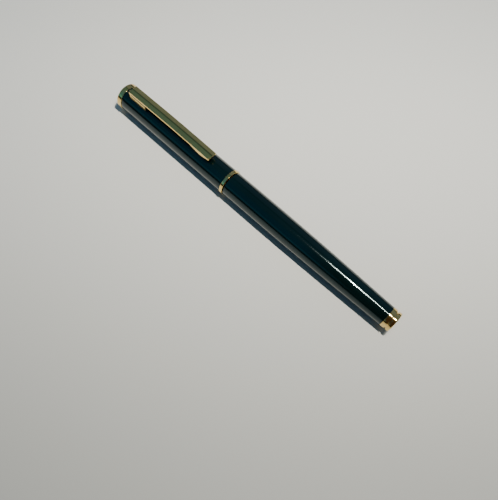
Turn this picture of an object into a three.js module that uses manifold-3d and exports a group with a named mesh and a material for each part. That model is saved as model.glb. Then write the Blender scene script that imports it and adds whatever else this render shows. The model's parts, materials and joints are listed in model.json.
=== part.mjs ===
// Slim fountain pen, capped, lying along +X with its clip upwards.
//
// Frame: millimetres, +Z up. The pen's axis is the X axis. X = 0 is the flat face of the gold button
// that ends the barrel, and the cap's flat crown is at the largest X.
//
// Real construction: a lacquered brass barrel and cap, gold-plated trims, a section that screws into
// the barrel, a piston converter pushed on to the section's ink nipple, and a pull-off cap with an
// inner cap, a sprung clutch sleeve and a formed sheet clip that rocks on a bracket inside the cap.

import * as THREE from 'three';
import { mergeVertices } from 'three/addons/utils/BufferGeometryUtils.js';
import Module from 'manifold-3d';

const wasm = await Module();
wasm.setup();

// ---------------------------------------------------------------- driving dimensions

// Facets around a turned piece, for the pieces of the outside and for the slim pieces inside.
const OUTER_SIDES = 32;
const INNER_SIDES = 24;

// Clearances: pressed or screwed together, and sliding or turning on each other.
const FIT_GAP = 0.05;
const RUN_GAP = 0.1;

// Barrel, from the end button to the mouth.
const BUTTON_LENGTH = 1.35;
const BUTTON_RADIUS = 3.93;
const BUTTON_EDGE = 0.4;
const BUTTON_NECK_INSET = 1.4;
const GROOVE_WIDTH = 0.5;
const GROOVE_DEPTH = 0.43;
const END_RING_LENGTH = 1.65;
const END_RING_PROUD = 0.05;
const STUD_RADIUS = 1.0;
const STUD_LENGTH = 3.8;
const TAIL_PLUG_LENGTH = 4.5;
const BARREL_LENGTH = 73.4;
const BARREL_STRAIGHT_LENGTH = 13.4;
const BARREL_TAIL_RADIUS = 3.93;
const BARREL_MOUTH_RADIUS = 4.9;
const BARREL_WALL = 0.45;
const BUSH_LENGTH = 11;
const BUSH_SETBACK = 2;
const BUSH_WALL = 0.45;

// Cap, from the lip band to the crown.
const SEAM_GAP = 0.28;
const LIP_BAND_LENGTH = 1.4;
const BAND_PROUD = 0.23;
const BAND_LEDGE = 0.25;
const CAP_LENGTH = 54.07;
const CAP_RADIUS = 4.97;
const CAP_WALL = 0.42;
const CAP_NECK_WALL = 0.2;
const TOP_RING_LENGTH = 2.35;
const TOP_RING_EDGE = 0.5;
const CROWN_THICKNESS = 0.7;
const CROWN_INSET = 0.25;
const CROWN_LEDGE = 0.4;
const CROWN_LEDGE_WIDTH = 0.6;
const CROWN_BOSS_RADIUS = 1.8;
const CAP_SHOULDER_FROM_RING = 1.45;
const CAP_SHOULDER_LENGTH = 0.55;
const CAP_SHOULDER_DEPTH = 0.65;
const CLUTCH_SLEEVE_LENGTH = 11;
const CLUTCH_SLEEVE_WALL = 0.3;
const CLUTCH_BEAD_LENGTH = 0.6;
const CLUTCH_BEAD_SLOPE = 1;
const CLUTCH_SLOTS = 6;
const CLUTCH_SLOT_WIDTH = 0.5;
const CLUTCH_SLOT_LENGTH = 8;
const INNER_CAP_WALL = 0.4;
const INNER_CAP_END = 0.6;
const INNER_CAP_STEP = 1.1;
const INNER_CAP_NARROW_LENGTH = 10.6;
const SCREW_SHANK_RADIUS = 0.8;
const SCREW_HEAD_RADIUS = 1.6;
const SCREW_HEAD_LENGTH = 0.8;
const BRACKET_THICKNESS = 0.6;
const BRACKET_LEAF_LENGTH = 11;
const BRACKET_LEAF_HALF_WIDTH = 2.6;
const BRACKET_LEAF_THICKNESS = 0.8;

// Clip: a formed sheet channel that stands on a root box and ends in a rounded foot.
const CLIP_LENGTH = 43;
const CLIP_BELOW_RING = 2.8;
const CLIP_WIDTH = 4.1;
const CLIP_SHEET = 0.5;
const CLIP_CROWN = 0.14;
const CLIP_EDGE = 0.35;
const CLIP_ROOT_HEIGHT = 3;
const CLIP_MIDDLE_RISE = 0.4;
const CLIP_TIP_HEIGHT = 2.75;
const CLIP_FLANGE = 0.8;
const CLIP_FOOT_LENGTH = 10.5;
const CLIP_FOOT_CLEARANCE = 0.3;
const CLIP_FOOT_TUCK = 0.5;
const CLIP_ROOT_LENGTH = 8.7;
const CLIP_TOE_LENGTH = 1.3;
const CLIP_WALL_SINK = 0.02;
const CLIP_END_CLEARANCE = 0.15;
const TONGUE_LENGTH = 3;
const TONGUE_WIDTH = 2.4;
const TONGUE_FROM_END = 2.6;
const TONGUE_CLEARANCE = 0.4;
const TONGUE_REACH = 1.02;

// Section: the part held in the hand, with its nib and feed.
const CLUTCH_RING_LENGTH = 1.5;
const CLUTCH_RING_WALL = 0.25;
const CLUTCH_RING_FROM_MOUTH = 0.15;
const COUPLING_THREAD_LENGTH = 9.4;
const COUPLING_CHAMFER = 0.4;
const COUPLING_SPIGOT_LENGTH = 7.3;
const COUPLING_WALL = 0.5;
const SEAL_SECTION = 0.9;
const SEAL_FROM_MOUTH = 1.4;
const SEAL_GROOVE_DEPTH = 0.45;
const SECTION_CLEARANCE = 0.15;
const GRIP_WALL = 0.65;
const GRIP_WAIST_DROP = 0.85;
const GRIP_FRONT_DROP = 0.65;
const FRONT_RING_LENGTH = 1.5;
const FRONT_RING_PROUD = 0.12;
const COLLAR_FROM_NIPPLE = 5;
const COLLAR_WALL = 0.35;
const COLLAR_PROUD = 0.2;
const NIB_HEEL_SETBACK = 3;
const NIB_SHOWN = 18.5;
const NIB_SHEET = 0.25;
const NIB_SIDE_CLEARANCE = 0.1;
const NIB_SHOULDER = 5;
const NIB_TIP_CLEARANCE = 0.8;
const NIB_TIP_DROP = 1.6;
const NIB_TIP_HALF_WIDTH = 0.35;
const NIB_ARCH = 0.94;
const SLIT_WIDTH = 0.16;
const SLIT_LENGTH = 11.5;
const BREATHER_RADIUS = 0.5;
const FEED_SHORTER = 5;
const FEED_TIP_RADIUS = 0.75;
const FEED_FINS = 7;
const FIN_SLOT = 0.4;
const FIN_PITCH = 0.9;
const FIN_DEPTH = 1.1;
const FINS_FROM_COLLAR = 1;
const NIPPLE_RADIUS = 1.2;
const NIPPLE_BORE = 0.5;
const NIPPLE_LENGTH = 7.5;
const NIPPLE_FLANGE = 2;
const NIPPLE_FROM_COUPLING = 2;

// Converter: the piston reservoir behind the section.
const CONVERTER_PULL = 8;
const CONVERTER_TAIL_CLEARANCE = 2;
const KNOB_LENGTH = 15;
const KNOB_END_WALL = 1.5;
const KNOB_FLUTES = 16;
const KNOB_FLUTE_DEPTH = 0.18;
const HOUSING_LENGTH = 12;
const HOUSING_RADIUS = 3.05;
const HOUSING_WALL = 0.4;
const BAND_LENGTH = 5;
const CHAMBER_WALL = 0.35;
const MOUTH_LENGTH = 6;
const MOUTH_SPIGOT_LENGTH = 2;
const NUT_LENGTH = 11;
const NUT_WALL = 0.8;
const ROD_RADIUS = 1.1;
const ROD_TIP = 0.6;
const ROD_IN_NUT = 1.5;
const PISTON_LENGTH = 4;
const PISTON_WAIST_DEPTH = 0.4;
const PISTON_FRONT_CLEARANCE = 2;

// ---------------------------------------------------------------- places along the axis

const endRingStart = BUTTON_LENGTH + GROOVE_WIDTH;
const barrelStart = endRingStart + END_RING_LENGTH;
const barrelEnd = barrelStart + BARREL_LENGTH;
const bushEnd = barrelEnd - BUSH_SETBACK;
const bushStart = bushEnd - BUSH_LENGTH;
const plugEnd = barrelStart + TAIL_PLUG_LENGTH;

const lipStart = barrelEnd + SEAM_GAP;
const capStart = lipStart + LIP_BAND_LENGTH;
const capEnd = capStart + CAP_LENGTH;
const penEnd = capEnd + TOP_RING_LENGTH;
const capNeckStart = lipStart + BAND_LEDGE;
const crownStart = penEnd - CROWN_THICKNESS;
const capNeckEnd = crownStart - CROWN_LEDGE;
const shoulderEnd = capEnd - CAP_SHOULDER_FROM_RING;
const shoulderStart = shoulderEnd - CAP_SHOULDER_LENGTH;
const bracketStart = shoulderStart - BRACKET_THICKNESS;
const screwHeadStart = bracketStart - SCREW_HEAD_LENGTH;
const innerCapEnd = screwHeadStart - FIT_GAP;
const clutchStart = capStart + RUN_GAP;
const clutchEnd = clutchStart + CLUTCH_SLEEVE_LENGTH;
const innerCapStart = clutchEnd + FIT_GAP;
const innerCapNarrow = innerCapEnd - INNER_CAP_NARROW_LENGTH;

const clipRootEnd = capEnd - CLIP_BELOW_RING;
const clipTip = clipRootEnd - CLIP_LENGTH;
const tongueEnd = clipRootEnd - TONGUE_FROM_END;
const tongueStart = tongueEnd - TONGUE_LENGTH;

const clutchRingStart = barrelEnd + CLUTCH_RING_FROM_MOUTH;
const clutchRingEnd = clutchRingStart + CLUTCH_RING_LENGTH;
const gripStart = clutchRingEnd + FIT_GAP;
const couplingStart = bushEnd - COUPLING_THREAD_LENGTH;
const couplingEnd = gripStart + COUPLING_SPIGOT_LENGTH;
const nibTip = innerCapEnd - INNER_CAP_END - NIB_TIP_CLEARANCE;
const frontRingEnd = nibTip - NIB_SHOWN;
const gripEnd = frontRingEnd - FRONT_RING_LENGTH;
const collarEnd = frontRingEnd + COLLAR_PROUD;
const feedEnd = nibTip - FEED_SHORTER;
const nippleFlangeStart = couplingEnd + NIPPLE_FROM_COUPLING;
const nippleFlangeEnd = nippleFlangeStart + NIPPLE_FLANGE;
const nippleStart = nippleFlangeStart - NIPPLE_LENGTH;
const collarStart = nippleFlangeEnd + COLLAR_FROM_NIPPLE;
const nibHeel = collarStart + NIB_HEEL_SETBACK;

const knobStart = plugEnd + CONVERTER_PULL + CONVERTER_TAIL_CLEARANCE;
const knobEnd = knobStart + KNOB_LENGTH;
const housingStart = knobEnd + RUN_GAP;
const bandStart = housingStart + HOUSING_LENGTH;
const housingEnd = bandStart + BAND_LENGTH / 2;
const chamberStart = housingEnd + FIT_GAP;
const mouthEnd = couplingEnd;
const mouthStart = mouthEnd - MOUTH_LENGTH;
const chamberEnd = mouthStart - FIT_GAP;
const pistonEnd = mouthStart - MOUTH_SPIGOT_LENGTH - PISTON_FRONT_CLEARANCE;
const pistonStart = pistonEnd - PISTON_LENGTH;
const nutEnd = housingStart + NUT_LENGTH;

// ---------------------------------------------------------------- radii, from the outside in

const bandRadius = CAP_RADIUS + BAND_PROUD;
const capBore = CAP_RADIUS - CAP_WALL;
const capNeckRadius = capBore + CAP_NECK_WALL;
const linerRadius = capBore - FIT_GAP;
const clutchBore = linerRadius - CLUTCH_SLEEVE_WALL;
const innerCapBore = linerRadius - INNER_CAP_WALL;
const innerCapNarrowRadius = linerRadius - INNER_CAP_STEP;
const innerCapNarrowBore = innerCapNarrowRadius - INNER_CAP_WALL;
const bracketRadius = capBore - FIT_GAP;
const crownRadius = capNeckRadius - CROWN_INSET;

const barrelMouthBore = BARREL_MOUTH_RADIUS - BARREL_WALL;
const bushRadius = barrelMouthBore - FIT_GAP;
const bushBore = bushRadius - BUSH_WALL;
const threadRadius = bushBore - RUN_GAP;
const clutchRingRadius = Math.min(threadRadius + RUN_GAP + CLUTCH_RING_WALL, capBore - 3 * RUN_GAP);
const ringSeatRadius = Math.min(threadRadius, clutchRingRadius - CLUTCH_RING_WALL - RUN_GAP);

const gripRearRadius = innerCapBore - SECTION_CLEARANCE;
const gripWaistRadius = gripRearRadius - GRIP_WAIST_DROP;
const gripFrontRadius = gripRearRadius - GRIP_FRONT_DROP;
const spigotRadius = gripRearRadius - GRIP_WALL;
const couplingBore = Math.min(spigotRadius, ringSeatRadius - SEAL_GROOVE_DEPTH) - COUPLING_WALL;
const collarRadius = gripWaistRadius - GRIP_WALL;
const nibRadius = collarRadius - COLLAR_WALL - FIT_GAP;
const nibShoulderHalfWidth = innerCapNarrowBore - NIB_SIDE_CLEARANCE;
const feedRadius = nibRadius - NIB_SHEET - FIT_GAP;

const converterRadius = couplingBore - RUN_GAP;
const chamberBore = converterRadius - CHAMBER_WALL;
const housingBore = converterRadius - HOUSING_WALL;
const nutRadius = housingBore - RUN_GAP;
const nutBore = ROD_RADIUS + RUN_GAP;

const barrelTailBore = BARREL_TAIL_RADIUS - BARREL_WALL;
const plugRadius = barrelTailBore - FIT_GAP;
const buttonNeckRadius = plugRadius - BUTTON_NECK_INSET;

// ---------------------------------------------------------------- geometry helpers

/** Merged, position-only copy of a geometry without collapsed triangles. */
function cleaned(geometry) {
  const bare = geometry.clone();
  bare.deleteAttribute('normal');
  bare.deleteAttribute('uv');
  const merged = mergeVertices(bare, 1e-5);
  const index = merged.index.array;
  const kept = [];
  for (let i = 0; i < index.length; i += 3) {
    const [a, b, c] = [index[i], index[i + 1], index[i + 2]];
    if (a !== b && b !== c && c !== a) kept.push(a, b, c);
  }
  merged.setIndex(kept);
  return merged;
}

/** Solid for the boolean library, from a closed geometry. */
function solid(geometry) {
  const merged = cleaned(geometry);
  return new wasm.Manifold(new wasm.Mesh({
    numProp: 3,
    vertProperties: new Float32Array(merged.attributes.position.array),
    triVerts: new Uint32Array(merged.index.array),
  }));
}

/** Geometry of a solid. */
function geometryOf(body) {
  const mesh = body.getMesh();
  const geometry = new THREE.BufferGeometry();
  geometry.setAttribute('position', new THREE.BufferAttribute(new Float32Array(mesh.vertProperties), 3));
  geometry.setIndex(new THREE.BufferAttribute(new Uint32Array(mesh.triVerts), 1));
  return geometry;
}

/** Turned piece about the X axis. The profile is [x, radius] pairs, the outside going towards +X. */
function turned(profile, sides = OUTER_SIDES) {
  const points = profile.map(([x, radius]) => new THREE.Vector2(radius, x));
  const geometry = new THREE.LatheGeometry(points, sides, Math.PI / sides);
  geometry.rotateZ(-Math.PI / 2);
  return cleaned(geometry);
}

/** Turned ring or tube: the profile closes on itself. */
function turnedRing(profile, sides = OUTER_SIDES) {
  return turned([...profile, profile[0]], sides);
}

/** Plain tube between two places on the axis. */
function tube(start, end, radius, bore, sides = OUTER_SIDES) {
  return turnedRing([[start, bore], [start, radius], [end, radius], [end, bore]], sides);
}

/** Box between two corners. */
function block(x0, x1, y0, y1, z0, z1) {
  const geometry = new THREE.BoxGeometry(x1 - x0, y1 - y0, z1 - z0);
  geometry.translate((x0 + x1) / 2, (y0 + y1) / 2, (z0 + z1) / 2);
  return geometry;
}

/** Quarter-round edge on a turned profile, from one [x, radius] point to another about a centre. */
function edgeArc(centreX, centreRadius, size, fromAngle, toAngle, steps = 4) {
  return Array.from({ length: steps + 1 }, (_, i) => {
    const angle = fromAngle + ((toAngle - fromAngle) * i) / steps;
    return [centreX + size * Math.cos(angle), centreRadius + size * Math.sin(angle)];
  });
}

/** Closed solid through rings of points: each section is a list of [x, y, z] round one outline. */
function lofted(sections, outline) {
  const count = sections[0].length;
  const positions = sections.flat(2);
  const faces = [];
  for (let s = 0; s < sections.length - 1; s += 1) {
    for (let i = 0; i < count; i += 1) {
      const a = s * count + i;
      const b = s * count + ((i + 1) % count);
      faces.push(a, b, a + count, b, b + count, a + count);
    }
  }
  const flat = outline.map(([y, z]) => new THREE.Vector2(y, z));
  const last = (sections.length - 1) * count;
  for (const [a, b, c] of THREE.ShapeUtils.triangulateShape(flat, [])) {
    faces.push(a, c, b);
    faces.push(last + a, last + b, last + c);
  }
  const geometry = new THREE.BufferGeometry();
  geometry.setAttribute('position', new THREE.Float32BufferAttribute(positions, 3));
  geometry.setIndex(faces);
  return geometry;
}

/** Smooth step from 0 to 1. */
function eased(value) {
  const t = Math.min(1, Math.max(0, value));
  return t * t * (3 - 2 * t);
}

/** Evenly spaced values from start to end, both included. */
function spread(start, end, steps) {
  return Array.from({ length: steps + 1 }, (_, i) => start + ((end - start) * i) / steps);
}

// ---------------------------------------------------------------- materials

const material = (colour, roughness, metalness) =>
  new THREE.MeshStandardMaterial({ color: colour, roughness, metalness });

const lacquer = material(0x04161b, 0.12, 0);
const gold = material(0xc8a35c, 0.2, 1);
const brass = material(0xb08d4c, 0.35, 1);
const steel = material(0xb9bcc0, 0.3, 1);
const blackPlastic = material(0x0b0c0d, 0.25, 0);
const clearPlastic = material(0xcfd6d8, 0.1, 0);
const rubber = material(0x141414, 0.7, 0);

const pen = new THREE.Group();

/** Adds one named piece to the pen. */
function piece(name, geometry, look) {
  const mesh = new THREE.Mesh(geometry, look);
  mesh.name = name;
  pen.add(mesh);
}

// ---------------------------------------------------------------- barrel

/** Outside radius of the barrel: a quarter sine from the tail up to the straight mouth. */
function barrelRadius(x) {
  const taper = BARREL_LENGTH - BARREL_STRAIGHT_LENGTH;
  const t = Math.min(1, (x - barrelStart) / taper);
  return BARREL_TAIL_RADIUS + (BARREL_MOUTH_RADIUS - BARREL_TAIL_RADIUS) * Math.sin((Math.PI / 2) * t);
}

function barrelTube() {
  const straightStart = barrelEnd - BARREL_STRAIGHT_LENGTH;
  const stations = [...spread(barrelStart, straightStart, 10), barrelEnd];
  const outside = stations.map((x) => [x, barrelRadius(x)]);
  const inside = stations.map((x) => [x, barrelRadius(x) - BARREL_WALL]).reverse();
  return turnedRing([...outside, ...inside]);
}

/** Gold button that ends the barrel: rounded rim, grooved neck and a stud into the tail plug. */
function endButton() {
  const rim = BUTTON_RADIUS - BUTTON_EDGE;
  return turned([
    [0, 0],
    ...edgeArc(BUTTON_EDGE, rim, BUTTON_EDGE, Math.PI, Math.PI / 2),
    [BUTTON_LENGTH, BUTTON_RADIUS],
    [BUTTON_LENGTH, BUTTON_RADIUS - GROOVE_DEPTH],
    [endRingStart, BUTTON_RADIUS - GROOVE_DEPTH],
    [endRingStart, buttonNeckRadius],
    [barrelStart, buttonNeckRadius],
    [barrelStart, STUD_RADIUS],
    [barrelStart + STUD_LENGTH, STUD_RADIUS],
    [barrelStart + STUD_LENGTH, 0],
  ]);
}

function endRing() {
  const radius = BARREL_TAIL_RADIUS + END_RING_PROUD;
  const edge = 0.25;
  const bore = buttonNeckRadius + FIT_GAP;
  return turnedRing([
    [endRingStart, bore],
    [endRingStart, radius - edge],
    [endRingStart + edge, radius],
    [barrelStart, radius],
    [barrelStart, bore],
  ]);
}

/** Plug pressed into the tail of the barrel; the button's stud screws into it. */
function tailPlug() {
  return tube(barrelStart, plugEnd, plugRadius, STUD_RADIUS + FIT_GAP);
}

piece('barrel_tube', barrelTube(), lacquer);
piece('barrel_thread_bush', tube(bushStart, bushEnd, bushRadius, bushBore), brass);
piece('barrel_tail_plug', tailPlug(), brass);
piece('barrel_end_ring', endRing(), gold);
piece('barrel_end_button', endButton(), gold);

// ---------------------------------------------------------------- cap

/** Cap tube: thin necks for the two gold rings, an inner shoulder and a slot for the clip's tongue. */
function capTube() {
  const shell = turnedRing([
    [capNeckStart, capBore],
    [capNeckStart, capNeckRadius],
    [capStart, capNeckRadius],
    [capStart, CAP_RADIUS],
    [capEnd, CAP_RADIUS],
    [capEnd, capNeckRadius],
    [capNeckEnd, capNeckRadius],
    [capNeckEnd, capBore],
    [shoulderEnd, capBore],
    [shoulderEnd, capBore - CAP_SHOULDER_DEPTH],
    [shoulderStart, capBore - CAP_SHOULDER_DEPTH],
    [shoulderStart, capBore],
  ]);
  return geometryOf(solid(shell).subtract(solid(tongueSlot(CAP_RADIUS + 1))));
}

/** Room round the clip's tongue, from inside the cap up to the given height. */
function tongueSlot(top) {
  const halfWidth = TONGUE_WIDTH / 2 + TONGUE_CLEARANCE;
  const start = tongueStart - TONGUE_CLEARANCE;
  const end = tongueEnd + TONGUE_CLEARANCE;
  return block(start, end, -halfWidth, halfWidth, innerCapNarrowRadius, top);
}

/** Gold band round the cap's mouth, wrapped over the end of the tube. */
function lipBand() {
  const edge = 0.3;
  return turnedRing([
    [lipStart, capBore],
    [lipStart, bandRadius - edge],
    [lipStart + edge * 0.3, bandRadius - edge * 0.3],
    [lipStart + edge, bandRadius],
    [capStart - edge, bandRadius],
    [capStart - edge * 0.3, bandRadius - edge * 0.3],
    [capStart, bandRadius - edge],
    [capStart, capNeckRadius + FIT_GAP],
    [capNeckStart, capNeckRadius + FIT_GAP],
    [capNeckStart, capBore],
  ]);
}

/** Gold ring at the top of the cap: outside edge rounded, inner ledge under the crown disc. */
function topRing() {
  const rim = bandRadius - TOP_RING_EDGE;
  const edge = 0.2;
  return turnedRing([
    [capEnd, capNeckRadius + FIT_GAP],
    [capEnd, bandRadius - edge],
    [capEnd + edge, bandRadius],
    ...edgeArc(penEnd - TOP_RING_EDGE, rim, TOP_RING_EDGE, Math.PI / 2, 0, 5).slice(0, -1),
    [penEnd, Math.max(rim, crownRadius + 2 * FIT_GAP)],
    [penEnd, crownRadius + FIT_GAP],
    [crownStart, crownRadius + FIT_GAP],
    [crownStart, crownRadius - CROWN_LEDGE_WIDTH],
    [capNeckEnd, crownRadius - CROWN_LEDGE_WIDTH],
    [capNeckEnd, capNeckRadius + FIT_GAP],
  ]);
}

/** Crown disc on the ring's ledge, with a boss that takes the screw. */
function crownDisc() {
  const bossEnd = shoulderStart + FIT_GAP;
  const hole = SCREW_SHANK_RADIUS + FIT_GAP;
  return turned([
    [crownStart - CROWN_LEDGE, 0],
    [crownStart - CROWN_LEDGE, hole],
    [bossEnd, hole],
    [bossEnd, CROWN_BOSS_RADIUS],
    [crownStart, CROWN_BOSS_RADIUS],
    [crownStart, crownRadius],
    [penEnd, crownRadius],
    [penEnd, 0],
  ]);
}

function capScrew() {
  return turned([
    [screwHeadStart, 0],
    [screwHeadStart, SCREW_HEAD_RADIUS],
    [bracketStart, SCREW_HEAD_RADIUS],
    [bracketStart, SCREW_SHANK_RADIUS],
    [capNeckEnd - FIT_GAP, SCREW_SHANK_RADIUS],
    [capNeckEnd - FIT_GAP, 0],
  ], INNER_SIDES);
}

/** Inner cap: closed liner that seals round the nib, narrowed at its end to clear the bracket. */
function innerCap() {
  return turned([
    [innerCapEnd - INNER_CAP_END, 0],
    [innerCapEnd - INNER_CAP_END, innerCapNarrowBore],
    [innerCapNarrow, innerCapNarrowBore],
    [innerCapNarrow - INNER_CAP_WALL, innerCapBore],
    [innerCapStart, innerCapBore],
    [innerCapStart, linerRadius],
    [innerCapNarrow, linerRadius],
    [innerCapNarrow, innerCapNarrowRadius],
    [innerCapEnd, innerCapNarrowRadius],
    [innerCapEnd, 0],
  ]);
}

/** Spring sleeve behind the lip: long fingers that grip the section when the cap is pushed home. */
function clutchSleeve() {
  const bead = gripRearRadius + RUN_GAP;
  const beadEnd = clutchStart + 2 * CLUTCH_BEAD_LENGTH;
  const fingers = turnedRing([
    [clutchStart, clutchBore],
    [clutchStart, linerRadius],
    [clutchEnd, linerRadius],
    [clutchEnd, clutchBore],
    [beadEnd + CLUTCH_BEAD_SLOPE, clutchBore],
    [beadEnd, bead],
    [beadEnd - CLUTCH_BEAD_LENGTH, bead],
  ]);
  let body = solid(fingers);
  for (let i = 0; i < CLUTCH_SLOTS; i += 1) {
    const slot = block(
      clutchStart - 1, clutchStart + CLUTCH_SLOT_LENGTH,
      -CLUTCH_SLOT_WIDTH / 2, CLUTCH_SLOT_WIDTH / 2,
      gripRearRadius / 2, linerRadius + 1,
    );
    slot.rotateX(((i + 0.5) / CLUTCH_SLOTS) * 2 * Math.PI);
    body = body.subtract(solid(slot));
  }
  return geometryOf(body);
}

/** Steel bracket: a plate clamped against the cap's shoulder, and a leaf that holds the tongue. */
function clipBracket() {
  const plate = tube(bracketStart, shoulderStart, bracketRadius, SCREW_SHANK_RADIUS + FIT_GAP);
  const leafStart = bracketStart - BRACKET_LEAF_LENGTH;
  const bore = bracketRadius - BRACKET_LEAF_THICKNESS;
  const ring = tube(leafStart, bracketStart + BRACKET_THICKNESS / 2, bracketRadius, bore);
  const halfWidth = BRACKET_LEAF_HALF_WIDTH;
  const upper = block(leafStart - 1, shoulderStart, -halfWidth, halfWidth, 0, bandRadius);
  const leaf = solid(ring).intersect(solid(upper)).subtract(solid(tongueSlot(bandRadius)));
  return geometryOf(solid(plate).add(leaf));
}

piece('cap_tube', capTube(), lacquer);
piece('cap_lip_band', lipBand(), gold);
piece('cap_top_ring', topRing(), gold);
piece('cap_crown_disc', crownDisc(), lacquer);
piece('cap_screw', capScrew(), steel);
piece('cap_inner_sleeve', innerCap(), blackPlastic);
piece('cap_clutch_sleeve', clutchSleeve(), brass);
piece('clip_bracket', clipBracket(), steel);

// ---------------------------------------------------------------- clip

/** Height of the clip's top face: bowed between the root and the tip. */
function clipTop(x) {
  const t = (clipRootEnd - x) / CLIP_LENGTH;
  const chord = CLIP_ROOT_HEIGHT + (CLIP_TIP_HEIGHT - CLIP_ROOT_HEIGHT) * t;
  return CAP_RADIUS + chord + CLIP_MIDDLE_RISE * Math.sin(Math.PI * t);
}

/** How far the foot's belly has swelled at one place along the clip, from 0 to 1. */
function clipBelly(x) {
  const fromTip = (x - clipTip) / CLIP_FOOT_LENGTH;
  return fromTip < 1 ? Math.sin(Math.PI * fromTip ** 0.9) ** 1.2 : 0;
}

/** Height of the side flanges' lower edge: deep in the foot, level in the middle, down at the root. */
function clipFlangeEdge(x) {
  const level = clipTop(x) - CLIP_FLANGE;
  const fromRoot = (x - (clipRootEnd - CLIP_ROOT_LENGTH)) / CLIP_TOE_LENGTH + 1;
  const bottom = CAP_RADIUS + CLIP_FOOT_CLEARANCE;
  const wall = CAP_RADIUS - CLIP_WALL_SINK;
  return level + (bottom - level) * clipBelly(x) + (wall - level) * eased(fromRoot);
}

/** Outline of the channel at one place along the clip, as [y, z] pairs. */
function clipOutline(x) {
  const half = CLIP_WIDTH / 2;
  const top = clipTop(x);
  const bottom = clipFlangeEdge(x);
  const inner = half - CLIP_SHEET;
  const side = top - CLIP_CROWN - CLIP_EDGE;
  const tuck = CLIP_FOOT_TUCK * clipBelly(x);
  return [
    [-half + tuck, bottom],
    [-inner + tuck, bottom],
    [-inner, side - CLIP_SHEET + CLIP_EDGE],
    [inner, side - CLIP_SHEET + CLIP_EDGE],
    [inner - tuck, bottom],
    [half - tuck, bottom],
    [half, side],
    [half - CLIP_EDGE * 0.3, side + CLIP_EDGE * 0.7],
    [half - CLIP_EDGE, top - CLIP_CROWN],
    [half / 2, top - CLIP_CROWN / 4],
    [0, top],
    [-half / 2, top - CLIP_CROWN / 4],
    [-half + CLIP_EDGE, top - CLIP_CROWN],
    [-half + CLIP_EDGE * 0.3, side + CLIP_EDGE * 0.7],
    [-half, side],
  ];
}

/** The clip: channel, closed ends and the tongue that passes through the cap's slot. */
function clip() {
  const rootStart = clipRootEnd - CLIP_ROOT_LENGTH;
  const toeStart = rootStart - CLIP_TOE_LENGTH;
  const footEnd = clipTip + CLIP_FOOT_LENGTH;
  const stations = [
    ...spread(clipTip, footEnd, 12),
    ...spread(footEnd, toeStart, 5).slice(1),
    ...spread(toeStart, rootStart, 4).slice(1),
    clipRootEnd,
  ];
  const sections = stations.map((x) => clipOutline(x).map(([y, z]) => [x, y, z]));
  const channel = solid(lofted(sections, clipOutline(clipTip)));
  const inner = CLIP_WIDTH / 2 - CLIP_SHEET / 2;
  const under = CLIP_CROWN + CLIP_SHEET / 2;
  const endWall = block(
    clipRootEnd - CLIP_SHEET, clipRootEnd, -inner, inner,
    CAP_RADIUS + CLIP_END_CLEARANCE, clipTop(clipRootEnd) - under,
  );
  const tipWall = block(
    clipTip, clipTip + CLIP_SHEET, -inner, inner,
    clipTop(clipTip) - CLIP_FLANGE, clipTop(clipTip) - under,
  );
  const tongue = block(
    tongueStart, tongueEnd, -TONGUE_WIDTH / 2, TONGUE_WIDTH / 2,
    CAP_RADIUS - TONGUE_REACH, clipTop(tongueEnd) - under,
  );
  return geometryOf(channel.add(solid(endWall)).add(solid(tipWall)).add(solid(tongue)));
}

piece('clip', clip(), gold);

// ---------------------------------------------------------------- section

/** Brass coupling: thread into the barrel, O-ring groove, seat of the clutch ring, spigot. */
function sectionCoupling() {
  const sealStart = barrelEnd - SEAL_FROM_MOUTH;
  const sealEnd = sealStart + SEAL_SECTION;
  const groove = ringSeatRadius - SEAL_GROOVE_DEPTH;
  return turnedRing([
    [couplingStart, couplingBore],
    [couplingStart, threadRadius - COUPLING_CHAMFER],
    [couplingStart + COUPLING_CHAMFER, threadRadius],
    [sealStart - FIT_GAP, threadRadius],
    [sealStart - FIT_GAP, groove],
    [sealEnd + FIT_GAP, groove],
    [sealEnd + FIT_GAP, ringSeatRadius],
    [clutchRingEnd, ringSeatRadius],
    [clutchRingEnd, spigotRadius - FIT_GAP],
    [couplingEnd, spigotRadius - FIT_GAP],
    [couplingEnd, couplingBore],
  ]);
}

/** Rubber ring in the coupling's groove. */
function sealRing() {
  const start = barrelEnd - SEAL_FROM_MOUTH;
  const bore = ringSeatRadius - SEAL_GROOVE_DEPTH + RUN_GAP;
  const outer = ringSeatRadius + RUN_GAP / 2;
  const middle = (bore + outer) / 2;
  const half = (outer - bore) / 2;
  return turnedRing([
    [start, middle],
    [start + half, outer],
    [start + SEAL_SECTION - half, outer],
    [start + SEAL_SECTION, middle],
    [start + SEAL_SECTION - half, bore],
    [start + half, bore],
  ]);
}

/** Grip: black shell with a soft waist and a rear bore for the coupling's spigot. */
function gripShell() {
  const outline = spread(gripStart, gripEnd, 9).map((x) => {
    const t = (x - gripStart) / (gripEnd - gripStart);
    const drop = GRIP_WAIST_DROP * eased(t / 0.85);
    const flare = (GRIP_WAIST_DROP - GRIP_FRONT_DROP) * eased((t - 0.85) / 0.15);
    return [x, gripRearRadius - drop + flare];
  });
  const stop = couplingEnd + FIT_GAP;
  return turnedRing([
    ...outline,
    [gripEnd, collarRadius + FIT_GAP],
    [stop, collarRadius + FIT_GAP],
    [stop, spigotRadius],
    [gripStart, spigotRadius],
  ]);
}

function frontRing() {
  const radius = gripFrontRadius + FRONT_RING_PROUD;
  const edge = 0.3;
  return turnedRing([
    [gripEnd, collarRadius + FIT_GAP],
    [gripEnd, radius - edge / 2],
    [gripEnd + edge / 2, radius],
    [frontRingEnd - edge, radius],
    [frontRingEnd, radius - edge],
    [frontRingEnd, collarRadius + FIT_GAP],
  ]);
}

function nibCollar() {
  return tube(collarStart, collarEnd, collarRadius, collarRadius - COLLAR_WALL, INNER_SIDES);
}

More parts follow.
